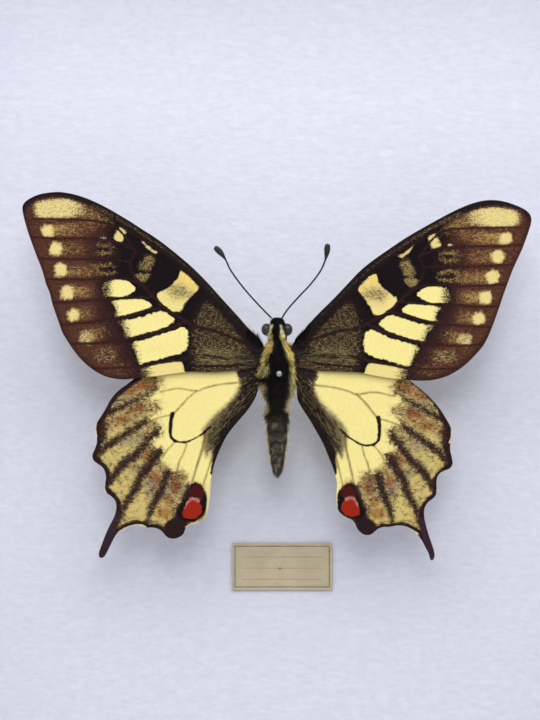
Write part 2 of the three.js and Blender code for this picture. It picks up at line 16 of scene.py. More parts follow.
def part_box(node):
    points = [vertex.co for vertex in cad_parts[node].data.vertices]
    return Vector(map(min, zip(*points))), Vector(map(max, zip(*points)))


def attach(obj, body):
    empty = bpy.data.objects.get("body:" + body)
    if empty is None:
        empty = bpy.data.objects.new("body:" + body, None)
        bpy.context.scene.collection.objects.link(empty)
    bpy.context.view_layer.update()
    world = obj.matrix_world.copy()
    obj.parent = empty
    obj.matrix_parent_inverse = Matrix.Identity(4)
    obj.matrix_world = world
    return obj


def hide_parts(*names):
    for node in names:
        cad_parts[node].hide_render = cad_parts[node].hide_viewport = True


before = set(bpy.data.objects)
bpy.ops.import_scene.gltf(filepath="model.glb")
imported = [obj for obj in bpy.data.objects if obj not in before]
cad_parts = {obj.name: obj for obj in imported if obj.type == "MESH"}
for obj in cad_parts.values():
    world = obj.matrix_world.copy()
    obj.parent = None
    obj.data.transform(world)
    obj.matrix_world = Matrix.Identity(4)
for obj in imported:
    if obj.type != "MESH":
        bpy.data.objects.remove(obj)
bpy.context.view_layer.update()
LOG = logging.getLogger("specimen")

BODY = "root"
MM = 0.001
COARSE = 1.0
Array = np.ndarray
Material = bpy.types.Material
Piece = bpy.types.Object
Socket = bpy.types.NodeSocket
Pair = tuple[float, float]
Points = Sequence[Pair]


class Tint(Enum):
    """Colours of the finishes, as red, green and blue from 0 to 255."""

    STRAW = (251, 232, 152)
    PALE_SPOT = (236, 212, 142)
    CELL_SPOT = (242, 220, 142)
    WARM_SPOT = (244, 206, 112)
    GOLD_DUST = (196, 162, 96)
    FINE_GOLD = (162, 134, 90)
    RUSSET_DUST = (166, 110, 66)
    OLIVE_DUST = (170, 144, 92)
    GREEN_DUST = (142, 132, 86)
    BAND_DUST = (204, 178, 116)
    LUNULE = (216, 192, 118)
    RUST = (160, 100, 42)
    BRICK = (150, 62, 36)
    ASH = (150, 134, 122)
    HAIR_GREY = (150, 132, 94)
    HAIR_OLIVE = (146, 128, 88)
    HAIR_PURPLE = (52, 42, 45)
    VEIN_GOLD = (138, 112, 62)
    INK = (22, 15, 18)
    SOOT = (30, 22, 22)
    UMBER = (74, 43, 34)
    UMBER_DEEP = (46, 26, 26)
    VEIN_RED = (50, 25, 26)
    BASE_BROWN = (30, 21, 18)
    BAND_BROWN = (58, 39, 32)
    EDGE_BROWN = (40, 25, 27)
    TAIL = (52, 36, 44)
    EYE_RED = (158, 40, 22)
    EYE_PINK = (206, 132, 122)
    EYE_CAP = (74, 22, 20)
    CREAM = (232, 214, 160)
    FUR_BLACK = (14, 11, 14)
    FUR_BROWN = (44, 34, 32)
    FUR_GREY = (96, 88, 82)
    FUR_YELLOW = (228, 206, 122)
    FUR_ORANGE = (214, 156, 80)
    FUR_PALE = (228, 210, 146)
    FUR_CREAM = (240, 230, 172)
    COMPOUND_EYE = (48, 36, 40)
    ANTENNA = (34, 30, 32)
    LEG = (62, 52, 36)
    SHEET = (231, 230, 244)
    CARD = (206, 190, 160)
    CARD_INK = (70, 60, 48)
    CARD_RUST = (190, 132, 92)
    LINER = (228, 228, 234)
    FOAM = (238, 238, 236)
    HARDBOARD = (116, 84, 56)
    WALNUT = (92, 60, 38)
    WALNUT_DARK = (46, 28, 18)
    STEEL = (188, 190, 192)
    BRASS = (196, 164, 96)
    FLOOR = (214, 214, 216)


def linear(tint: Tint) -> tuple[float, float, float]:
    """Turn a display colour into the linear values that the shaders take.

    Args:
        tint: the colour to turn.

    Returns:
        Red, green and blue from 0 to 1.
    """
    shares = [value / 255 for value in tint.value]
    return tuple(c / 12.92 if c <= 0.04045 else ((c + 0.055) / 1.055) ** 2.4 for c in shares)


def rgba(tint: Tint, scale: float = 1.0) -> tuple[float, float, float, float]:
    """Give a tint as a shader colour, darker or lighter by a factor."""
    red, green, blue = (min(1.0, value * scale) for value in linear(tint))
    return red, green, blue, 1.0


@dataclass(frozen=True)
class PhotoPlane:
    """The plane of the wings, and how photograph pixels lie in it.

    The wings' tips are 506 pixels apart and the real span is 75 mm.
    """

    wingspan: float = 75 * MM
    wingspan_px: float = 506
    body_axis_px: float = 277.5
    centre_row_px: float = 392
    above_sheet: float = 16 * MM

    @property
    def pixel(self) -> float:
        """Size of a photograph pixel in the plane of the wings, in metres."""
        return self.wingspan / self.wingspan_px

    @property
    def middle(self) -> float:
        """Height of the case's middle."""
        low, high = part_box("backing_paper")
        return (low.z + high.z) / 2

    @property
    def depth(self) -> float:
        """Where the plane of the wings lies along Y."""
        low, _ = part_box("backing_paper")
        return low.y - self.above_sheet

    def across(self, column: Array | float) -> Array | float:
        """Turn a pixel column into X."""
        return (column - self.body_axis_px) * self.pixel

    def up(self, row: Array | float) -> Array | float:
        """Turn a pixel row into Z."""
        return self.middle + (self.centre_row_px - row) * self.pixel

    def column(self, x: Array) -> Array:
        """Turn X into a pixel column."""
        return x / self.pixel + self.body_axis_px

    def row(self, z: Array) -> Array:
        """Turn Z into a pixel row."""
        return self.centre_row_px - (z - self.middle) / self.pixel


PLANE = PhotoPlane()


class Tree:
    """A node tree, with short calls that the finishes and the hair share."""

    def __init__(self, tree: bpy.types.NodeTree) -> None:
        """Hold the tree that nodes are added to."""
        self.tree = tree

    def node(self, kind: str, inputs: dict | None = None, **settings: object) -> bpy.types.Node:
        """Add a node.

        Args:
            kind: the node's type name.
            inputs: values for its sockets, by name or number.
            settings: values for its own properties.

        Returns:
            The new node.
        """
        node = self.tree.nodes.new(kind)
        for key, value in settings.items():
            setattr(node, key, value)
        for key, value in (inputs or {}).items():
            self.feed(node.inputs[key], value)
        return node

    def feed(self, socket: Socket, value: object) -> None:
        """Link a socket to another, or set its value.

        Args:
            socket: the socket that is fed.
            value: another socket, or a plain value.
        """
        if isinstance(value, Socket):
            self.tree.links.new(value, socket)
        else:
            socket.default_value = value

    def sum(self, operation: str, first: object, second: object = 0.0) -> Socket:
        """Give a sum, product or other simple operation of two values."""
        return self.node("ShaderNodeMath", {0: first, 1: second}, operation=operation).outputs["Value"]

    def scale(self, vector: object, factor: object) -> Socket:
        """Make a vector longer or shorter, or a colour lighter or darker, by a factor."""
        inputs = {"Vector": vector, "Scale": factor}
        return self.node("ShaderNodeVectorMath", inputs, operation="SCALE").outputs["Vector"]


class Shader(Tree):
    """A material's node tree, with short calls for the nodes that the finishes share."""

    def __init__(self, name: str) -> None:
        """Start a material that holds a Principled BSDF.

        Args:
            name: the material's name.
        """
        self.material = bpy.data.materials.new(name)
        self.material.use_nodes = True
        super().__init__(self.material.node_tree)
        self.surface = self.tree.nodes["Principled BSDF"]

    def set(self, **inputs: object) -> None:
        """Feed the surface's sockets, with underscores for spaces in their names."""
        for key, value in inputs.items():
            self.feed(self.surface.inputs[key.replace("_", " ")], value)

    def place(self, stretch: tuple[float, float, float] = (1, 1, 1),
              shift: tuple[float, float, float] = (0, 0, 0)) -> Socket:
        """Give the object's own coordinates.

        Args:
            stretch: factors along X, Y and Z.
            shift: what is added after them.

        Returns:
            The coordinates' socket.
        """
        source = self.node("ShaderNodeTexCoord").outputs["Object"]
        mapping = self.node("ShaderNodeMapping", {"Vector": source, "Location": shift, "Scale": stretch})
        return mapping.outputs["Vector"]

    def noise(self, vector: Socket, size: float, detail: float = 3.0,
              roughness: float = 0.55, distortion: float = 0.0) -> Socket:
        """Give a noise between 0 and 1.

        Args:
            vector: its coordinates.
            size: how wide its lumps are, in metres.
            detail: how many finer noises are added.
            roughness: how strong those are.
            distortion: how far it is warped.

        Returns:
            The noise's socket.
        """
        inputs = {"Vector": vector, "Scale": 1 / size, "Detail": detail, "Roughness": roughness,
                  "Distortion": distortion}
        return self.node("ShaderNodeTexNoise", inputs).outputs["Fac"]

    def span(self, value: object, low: float, high: float, to_low: float = 0.0,
             to_high: float = 1.0) -> Socket:
        """Map a value from one range to another, held at its ends."""
        inputs = {"Value": value, "From Min": low, "From Max": high, "To Min": to_low, "To Max": to_high}
        return self.node("ShaderNodeMapRange", inputs).outputs["Result"]

    def mix(self, share: object, first: object, second: object, how: str = "MIX") -> Socket:
        """Mix two colours by a share of the second."""
        inputs = {0: share, 6: first, 7: second}
        return self.node("ShaderNodeMix", inputs, data_type="RGBA", blend_type=how).outputs[2]

    def attribute(self, name: str, output: str = "Fac") -> Socket:
        """Give a mesh attribute's value or colour."""
        return self.node("ShaderNodeAttribute", attribute_name=name).outputs[output]

    def bump(self, height: object, strength: float, distance: float) -> Socket:
        """Give a normal that is bent by a height."""
        inputs = {"Height": height, "Strength": strength, "Distance": distance}
        return self.node("ShaderNodeBump", inputs).outputs["Normal"]


class Grain(Enum):
    """Which way a rail's grain runs."""

    LEVEL = "X"
    UPRIGHT = "Z"


@dataclass(frozen=True)
class WalnutFinish:
    """Oiled walnut whose grain runs along one axis."""

    name: str
    along: Grain
    pore: float = 0.35 * MM
    figure: float = 9 * MM
    length_ratio: float = 0.045

    def build(self) -> Material:
        """Make the material.

        Returns:
            The material.
        """
        shader = Shader(self.name)
        squeeze = self.length_ratio
        stretch = (squeeze, 1, 1) if self.along is Grain.LEVEL else (1, 1, squeeze)
        grain = shader.place(stretch)
        figure = shader.noise(grain, self.figure, 5, 0.6, 0.8)
        inputs = {"Vector": grain, "Scale": 1 / (4 * self.figure), "Distortion": 9, "Detail": 3,
                  "Detail Scale": 2}
        bands = shader.node("ShaderNodeTexWave", inputs).outputs["Fac"]
        pores = shader.noise(grain, self.pore, 2, 0.7)
        base = shader.mix(shader.span(figure, 0.3, 0.7), rgba(Tint.WALNUT_DARK, 1.5),
                          rgba(Tint.WALNUT, 1.3))
        banded = shader.mix(shader.span(bands, 0.25, 0.9, 0, 0.5), base, rgba(Tint.WALNUT_DARK))
        colour = shader.mix(shader.span(pores, 0.56, 0.7, 0, 0.75), banded, rgba(Tint.WALNUT_DARK, 0.5))
        shader.set(Base_Color=colour, Roughness=shader.span(pores, 0.3, 0.7, 0.36, 0.55), Coat_Weight=0.12,
                   Coat_Roughness=0.3, Normal=shader.bump(pores, 0.25, 0.12 * MM))
        return shader.material


@dataclass(frozen=True)
class PaneFinish:
    """Clear low-reflection glass: mostly open, with a weak mirror at glancing angles."""

    reflection_index: float = 1.14

    def build(self) -> Material:
        """Make the material.

        Returns:
            The material.
        """
        shader = Shader("clear_pane")
        shader.tree.nodes.remove(shader.surface)
        mirror = shader.node("ShaderNodeFresnel", {"IOR": self.reflection_index}).outputs["Fac"]
        from_inside = shader.node("ShaderNodeNewGeometry").outputs["Backfacing"]
        weight = shader.sum("MULTIPLY", mirror, shader.sum("SUBTRACT", 1, from_inside))
        clear = shader.node("ShaderNodeBsdfTransparent", {"Color": (0.985, 0.992, 0.99, 1)})
        gloss = shader.node("ShaderNodeBsdfGlossy", {"Roughness": 0.02})
        inputs = {0: weight, 1: clear.outputs["BSDF"], 2: gloss.outputs["BSDF"]}
        mixed = shader.node("ShaderNodeMixShader", inputs)
        output = shader.tree.nodes["Material Output"]
        shader.feed(output.inputs["Surface"], mixed.outputs["Shader"])
        return shader.material


@dataclass(frozen=True)
class FeltedFinish:
    """Paper, card, foam or hardboard: a matt sheet with a fine tooth and faint clouds."""

    name: str
    tint: Tint
    tooth: float
    relief: float
    cloud: float = 6 * MM
    contrast: float = 0.06
    roughness: float = 0.9
    lie: float = 1.0

    def build(self) -> Material:
        """Make the material.

        Returns:
            The material.
        """
        shader = Shader(self.name)
        place = shader.place((self.lie, 1, 1))
        fine = shader.noise(place, self.tooth, 4, 0.65, 0.4)
        clouds = shader.noise(place, self.cloud, 3, 0.5)
        low, high = 1 - self.contrast, 1 + self.contrast / 3
        mottled = shader.mix(shader.span(fine, 0.3, 0.7), rgba(self.tint, low), rgba(self.tint, high))
        colour = shader.mix(shader.span(clouds, 0.3, 0.7, 0, 0.4), mottled, rgba(self.tint, low))
        height = shader.sum("ADD", fine, shader.sum("MULTIPLY", clouds, 1.5))
        shader.set(Base_Color=colour, Roughness=self.roughness, Specular_IOR_Level=0.2,
                   Normal=shader.bump(height, 0.6, self.relief))
        return shader.material


@dataclass(frozen=True)
class MetalFinish:
    """Bright or plated metal, finely brushed, duller where it was handled."""

    name: str
    tint: Tint
    roughness: float = 0.28
    brushed: float = 0.3 * MM

    def build(self) -> Material:
        """Make the material.

        Returns:
            The material.
        """
        shader = Shader(self.name)
        lines = shader.noise(shader.place((0.06, 1, 1)), self.brushed, 3, 0.6)
        spots = shader.noise(shader.place(), 1.6 * MM, 4, 0.6)
        colour = shader.mix(shader.span(spots, 0.45, 0.75), rgba(self.tint), rgba(self.tint, 0.62))
        rough = shader.span(spots, 0.3, 0.75, self.roughness, self.roughness + 0.25)
        shader.set(Base_Color=colour, Metallic=1.0, Roughness=rough,
                   Normal=shader.bump(lines, 0.15, 0.05 * MM))
        return shader.material


@dataclass(frozen=True)
class ScaledWingFinish:
    """Wing scales: a ground colour under grains of another, as thick as the wing's pattern says."""

    name: str
    grain: float = 0.15 * MM
    streak: float = 0.75
    lumps: float = 2.6
    flakes: float = 1.7
    softness: float = 0.19

    def build(self) -> Material:
        """Make the material.

        Returns:
            The material.
        """
        shader = Shader(self.name)
        flow = shader.node("ShaderNodeUVMap", uv_map="flow").outputs["UV"]
        inputs = {"Vector": flow, "Scale": (self.streak, 1, 1)}
        run = shader.node("ShaderNodeMapping", inputs).outputs["Vector"]
        grains = shader.noise(run, self.grain, 3, 0.8)
        coarse = shader.noise(run, self.lumps * self.grain, 2, 0.6)
        threshold = shader.sum("ADD", shader.sum("MULTIPLY", grains, 0.72),
                               shader.sum("MULTIPLY", coarse, 0.28))
        spread = shader.span(threshold, 0.34, 0.66)
        reach = shader.sum("MULTIPLY", shader.attribute("cover"), 1.3)
        gap = shader.sum("SUBTRACT", reach, shader.sum("ADD", spread, 0.15))
        share = shader.span(gap, -self.softness, self.softness)
        other = shader.noise(run, self.flakes * self.grain, 3, 0.85)
        ground = shader.scale(shader.attribute("ground", "Color"), shader.span(other, 0.34, 0.66, 0.4, 1.7))
        scales = shader.scale(shader.attribute("scales", "Color"), shader.span(other, 0.3, 0.7, 0.86, 1.05))
        colour = shader.mix(share, ground, scales)
        shader.set(Base_Color=colour, Roughness=0.85, Specular_IOR_Level=0.06,
                   Normal=shader.bump(grains, 0.45, 0.05 * MM))
        return shader.material


@dataclass(frozen=True)
class TintedFinish:
    """Hair or hairy cuticle that takes its colour from the piece's tint attribute.

    Hairs also carry a shade, so that each lock is darker or lighter than its neighbours.
    """

    name: str
    locks: bool = False
    roughness: float = 0.75
    speckle: float = 0.25 * MM
    relief: float = 0.05 * MM

    def build(self) -> Material:
        """Make the material.

        Returns:
            The material.
        """
        shader = Shader(self.name)
        specks = shader.noise(shader.place(), self.speckle, 3, 0.6)
        factor = shader.span(specks, 0.3, 0.75, 1.15, 0.55)
        if self.locks:
            own = shader.span(shader.attribute("shade"), 0, 1, 0.22, 1.6)
            factor = shader.sum("MULTIPLY", factor, own)
        colour = shader.scale(shader.attribute("tint", "Color"), factor)
        shader.set(Base_Color=colour, Roughness=self.roughness, Specular_IOR_Level=0.12,
                   Normal=shader.bump(specks, 0.4, self.relief))
        return shader.material


@dataclass(frozen=True)
class CuticleFinish:
    """Bare cuticle of antennae, legs and eyes, with a fine pebbled relief."""

    name: str
    tint: Tint
    roughness: float
    pebble: float
    coat: float = 0.0

    def build(self) -> Material:
        """Make the material.

        Returns:
            The material.
        """
        shader = Shader(self.name)
        place = shader.place()
        inputs = {"Vector": place, "Scale": 1 / self.pebble}
        cells = shader.node("ShaderNodeTexVoronoi", inputs).outputs["Distance"]
        clouds = shader.noise(place, 6 * self.pebble, 3, 0.6)
        colour = shader.mix(shader.span(clouds, 0.35, 0.7), rgba(self.tint, 0.55), rgba(self.tint, 1.25))
        shader.set(Base_Color=colour, Roughness=self.roughness, Coat_Weight=self.coat,
                   Normal=shader.bump(cells, 0.3, self.pebble / 3))
        return shader.material


@dataclass(frozen=True)
class CardFinish:
    """Aged cream card with a thin printed border, dotted rules, an old pin's rust and painted shade in its
    hole.
    """

    centre: Pair
    size: Pair
    line: float = 0.13 * MM
    inset: Pair = (0.45 * MM, 0.5 * MM)
    rules: tuple[float, ...] = (1.5 * MM, -0.25 * MM, -2.0 * MM)
    dot_step: float = 0.42 * MM
    pin_hole: Pair = (-0.35 * MM, -0.3 * MM)

    def build(self) -> Material:
        """Make the material.

        Returns:
            The material.
        """
        shader = Shader("label_card")
        x, z = self.centre
        place = shader.place(shift=(-x, 0, -z))
        axes = shader.node("ShaderNodeSeparateXYZ", {"Vector": place}).outputs
        across = shader.sum("ABSOLUTE", axes["X"])
        upward = shader.sum("ABSOLUTE", axes["Z"])
        half_x = self.size[0] / 2 - self.inset[0]
        half_z = self.size[1] / 2 - self.inset[1]
        side = self._stroke(shader, across, half_x, self.line)
        level = self._stroke(shader, upward, half_z, self.line)
        in_width = shader.span(across, half_x, half_x + self.line, 1, 0)
        in_height = shader.span(upward, half_z, half_z + self.line, 1, 0)
        border = shader.sum("MAXIMUM", shader.sum("MULTIPLY", side, in_height),
                            shader.sum("MULTIPLY", level, in_width))
        dots = shader.sum("SINE", shader.sum("MULTIPLY", axes["X"], 2 * math.pi / self.dot_step))
        dotted = shader.sum("MULTIPLY", shader.span(dots, -0.1, 0.3),
                            shader.span(across, half_x - 1.2 * MM, half_x - 1.0 * MM, 1, 0))
        ink = border
        for height in self.rules:
            rule = self._stroke(shader, axes["Z"], height, 0.7 * self.line)
            ink = shader.sum("MAXIMUM", ink, shader.sum("MULTIPLY", rule, dotted))
        patchy = shader.noise(place, 0.5 * MM, 3, 0.6)
        print_share = shader.sum("MULTIPLY", ink, shader.span(patchy, 0.25, 0.6, 0.45, 0.85))
        fibres = shader.noise(place, 0.18 * MM, 4, 0.65)
        clouds = shader.noise(place, 3.2 * MM, 3, 0.55)
        card = shader.mix(shader.span(fibres, 0.3, 0.7), rgba(Tint.CARD, 0.86), rgba(Tint.CARD, 1.06))
        aged = shader.mix(shader.span(clouds, 0.4, 0.7, 0, 0.5), card, rgba(Tint.CARD, 0.74))
        pin = shader.place(shift=(-x - self.pin_hole[0], 0, -z - self.pin_hole[1]))
        inputs = {0: pin, 1: (1, 0, 1)}
        flat = shader.node("ShaderNodeVectorMath", inputs, operation="MULTIPLY").outputs["Vector"]
        reach = shader.node("ShaderNodeVectorMath", {0: flat}, operation="LENGTH").outputs["Value"]
        ragged = shader.sum("ADD", reach, shader.sum("MULTIPLY", patchy, 0.5 * MM))
        rust = shader.span(ragged, 0.3 * MM, 0.8 * MM, 0.3, 0)
        # Painted shade: a near-black dot where the old pin's hole is, standing in for the shade inside the
        # hole, in the middle of the real rust stain.
        hole_shade = shader.span(reach, 0.1 * MM, 0.17 * MM, 0.8, 0)
        stained = shader.mix(rust, aged, rgba(Tint.CARD_RUST))
        pierced = shader.mix(hole_shade, stained, rgba(Tint.INK))
        colour = shader.mix(print_share, pierced, rgba(Tint.CARD_INK))
        shader.set(Base_Color=colour, Roughness=0.85, Specular_IOR_Level=0.2,
                   Normal=shader.bump(fibres, 0.4, 0.05 * MM))
        return shader.material

    @staticmethod
    def _stroke(shader: Shader, value: Socket, centre: float,
                width: float) -> Socket:
        """Give 1 where a value is within half a width of a centre, and 0 beyond it."""
        away = shader.sum("ABSOLUTE", shader.sum("SUBTRACT", value, centre))
        return shader.span(away, width * 0.4, width * 0.75, 1, 0)


def smooth(value: Array) -> Array:
    """Ease a value from 0 to 1, held at its ends."""
    held = np.clip(value, 0, 1)
    return held * held * (3 - 2 * held)


def wobble(points: Array, size: float, seed: int) -> Array:
    """Give a smooth random value between -1 and 1 at each point.

    Args:
        points: places in the plane, N x 2.
        size: how far apart the random values stand.
        seed: fixes the values.

    Returns:
        N values.
    """
    cells = 64
    table = np.random.RandomState(seed).uniform(-1, 1, (cells, cells))
    scaled = points / size
    corner = np.floor(scaled).astype(int)
    share = smooth(scaled - corner)
    x0, y0 = corner[:, 0] % cells, corner[:, 1] % cells
    x1, y1 = (x0 + 1) % cells, (y0 + 1) % cells
    low = table[x0, y0] * (1 - share[:, 0]) + table[x1, y0] * share[:, 0]
    high = table[x0, y1] * (1 - share[:, 0]) + table[x1, y1] * share[:, 0]
    return low * (1 - share[:, 1]) + high * share[:, 1]


def path_distance(points: Array, path: Array) -> tuple[Array, Array]:
    """Measure how far points are from a path.

    Args:
        points: places in the plane, N x 2.
        path: the path's points in order, M x 2.

    Returns:
        The distance of each point, and how far along the path its nearest place lies, from 0 to 1.
    """
    best = np.full(len(points), np.inf)
    along = np.zeros(len(points))
    run = run_along(path)
    for start, end, length, before in zip(path[:-1], path[1:], np.diff(run), run[:-1]):
        line = end - start
        share = np.clip((points - start) @ line / max(length * length, 1e-9), 0, 1)
        away = np.linalg.norm(points - start - share[:, None] * line, axis=1)
        nearer = away < best
        best[nearer] = away[nearer]
        along[nearer] = (before + share[nearer] * length) / run[-1]
    return best, along


def run_along(curve: Array) -> Array:
    """Measure how far each point of a curve is from its start."""
    return np.concatenate([[0], np.cumsum(np.linalg.norm(np.diff(curve, axis=0), axis=1))])


def inside_polygon(points: Array, outline: Array) -> Array:
    """Say which points lie inside a closed outline.

    Args:
        points: places in the plane, N x 2.
        outline: the outline's corners in order, M x 2.

    Returns:
        N truth values.
    """
    x, y = points[:, 0], points[:, 1]
    inside = np.zeros(len(points), bool)
    for (x0, y0), (x1, y1) in zip(outline, np.roll(outline, -1, axis=0)):
        if y0 == y1:
            continue
        crosses = (y0 > y) != (y1 > y)
        inside ^= crosses & (x < (x1 - x0) * (y - y0) / (y1 - y0) + x0)
    return inside


def rounded(points: Points, steps: int, closed: bool = True) -> Array:
    """Draw a smooth curve through points.

    Args:
        points: the points, in order.
        steps: how many stretches each span is split into.
        closed: whether the last point is joined to the first.

    Returns:
        The curve's points.
    """
    knots = np.array(points, float)
    count = len(knots)
    share = (np.arange(steps) / steps)[:, None]
    curve = []
    for i in range(count if closed else count - 1):
        if closed:
            a, b, c, d = (knots[(i + offset) % count] for offset in (-1, 0, 1, 2))
        else:
            a, b, c, d = (knots[min(max(i + offset, 0), count - 1)] for offset in (-1, 0, 1, 2))
        curve.append(0.5 * (2 * b + (c - a) * share + (2 * a - 5 * b + 4 * c - d) * share**2
                            + (3 * b - a - 3 * c + d) * share**3))
    if not closed:
        curve.append(knots[-1:])
    return np.vstack(curve)


def evenly(curve: Array, spacing: float) -> Array:
    """Space points evenly along a closed curve.

    Args:
        curve: the curve's points in order.
        spacing: about how far apart the new points stand.

    Returns:
        The new points.
    """
    loop = np.vstack([curve, curve[:1]])
    run = run_along(loop)
    places = np.linspace(0, run[-1], max(8, round(run[-1] / spacing)), endpoint=False)
    return np.column_stack([np.interp(places, run, loop[:, 0]), np.interp(places, run, loop[:, 1])])


def blend(colours: Array, share: Array, tint: Tint) -> Array:
    """Mix N x 3 colours with N shares of a tint."""
    return colours * (1 - share[:, None]) + share[:, None] * linear(tint)


class ScalePainter:
    """Lays colours on the points of a wing or skin: a ground, and scales that cover part of it."""

    def __init__(self, points: Array, ground: Tint, ragged: float = 0.8, seed: int = 5) -> None:
        """Start with bare ground.

        Args:
            points: where the points lie, in the left side's photograph pixels.
            ground: the colour under everything.
            ragged: how far edges wander, in pixels.
            seed: fixes how they wander.
        """
        self.points = points
        self.ground = np.tile(linear(ground), (len(points), 1))
        self.scales = self.ground.copy()
        self.cover = np.zeros(len(points))
        self.rough = ragged * (wobble(points, 2.2, seed) + 0.6 * wobble(points, 5.5, seed + 1))

    def patch(self, outline: Points, soft: float = 1.2, ragged: float = 1.0) -> Array:
        """Give how far each point is inside a patch with rounded corners.

        Args:
            outline: the patch's corners.
            soft: how wide its edge is.
            ragged: how far its edge wanders, beside the painter's own.

        Returns:
            A value from 0 to 1 for each point.
        """
        edge = rounded(outline, 3)
        away, _ = path_distance(self.points, np.vstack([edge, edge[:1]]))
        signed = np.where(inside_polygon(self.points, edge), away, -away)
        return smooth(0.5 + (signed + self.rough * min(1.0, soft) * ragged) / (2 * soft))

    def stroke(self, path: Points, widths: Pair, soft: float = 0.8,
               end: float = 1.0) -> Array:
        """Give how far each point is within a stroke.

        Args:
            path: the stroke's middle.
            widths: its widths at its start and end.
            soft: how wide its edges are.
            end: its strength at its end, beside 1 at its start.

        Returns:
            A value from 0 to 1 for each point.
        """
        away, along = path_distance(self.points, rounded(path, 5, closed=False))
        half = (widths[0] + (widths[1] - widths[0]) * along) / 2
        return smooth(0.5 + (half - away + 0.35 * self.rough) / (2 * soft)) * (1 + (end - 1) * along)

    def spot(self, centre: Pair, radii: Pair, soft: float = 1.5,
             blunt: float = 2.6) -> Array:
        """Give how far each point is inside an uneven oval.

        Args:
            centre: the oval's middle.
            radii: its half width and half height.
            soft: how wide its edge is.
            blunt: how blunt its corners are; 2 is a plain oval.

        Returns:
            A value from 0 to 1 for each point.
        """
        offset = np.abs((self.points - centre) / radii)
        away = (1 - (offset**blunt).sum(axis=1) ** (1 / blunt)) * min(radii)
        return smooth(0.5 + (away + 1.5 * self.rough) / (2 * soft))

    def slope(self, start: Pair, end: Pair) -> Array:
        """Give 1 at one place, falling to 0 at another, and level to either side."""
        line = np.array(end) - start
        return 1 - smooth((self.points - start) @ line / (line @ line))

    def tone(self, mask: Array, tint: Tint) -> None:
        """Change the ground's colour."""
        self.ground = blend(self.ground, mask, tint)

    def dust(self, mask: Array, tint: Tint, cover: float) -> None:
        """Lay scales.

        Args:
            mask: where they lie, from 0 to 1 for each point.
            tint: their colour.
            cover: how thick they lie.
        """
        kept = self.cover * (1 - mask)
        added = mask * cover
        self.scales = blend(self.scales, added / np.maximum(kept + added, 1e-6), tint)
        self.cover = kept + added

    def stain(self, mask: Array, tint: Tint) -> None:
        """Change the scales' colour and leave their cover."""
        self.scales = blend(self.scales, mask, tint)

    def bare(self, mask: Array, tint: Tint) -> None:
        """Take scales away and darken the ground."""
        self.cover = self.cover * (1 - mask)
        self.tone(mask, tint)


@dataclass(frozen=True)
class Spot:
    """A patch of pale scales: its outline in pixels, where it fades, and how it is laid."""

    outline: Points
    tint: Tint = Tint.STRAW
    cover: float = 1.0
    soft: float = 1.1
    fade: tuple[Pair, Pair] | None = None


@dataclass(frozen=True)
class Vein:
    """A vein: its path in pixels from the base outwards, and its widths there."""

    path: Points
    widths: Pair = (3.0, 2.2)
    ridge: float = 0.05 * MM


@dataclass(frozen=True)
class Comet:
    """A submarginal spot with a tail of dust that thins out towards the wing's middle."""

    centre: Pair
    radii: Pair
    tail_end: Pair
    cover: float
    tail_cover: float
    tail_tint: Tint = Tint.GOLD_DUST


@dataclass(frozen=True)
class HairPatch:
    """A hairy part of a wing: where it is, which way its hair lies, and the hair's colour and length."""

    outline: Points
    lie: Pair
    tint: Tint
    length: float
    cover: float = 1.0


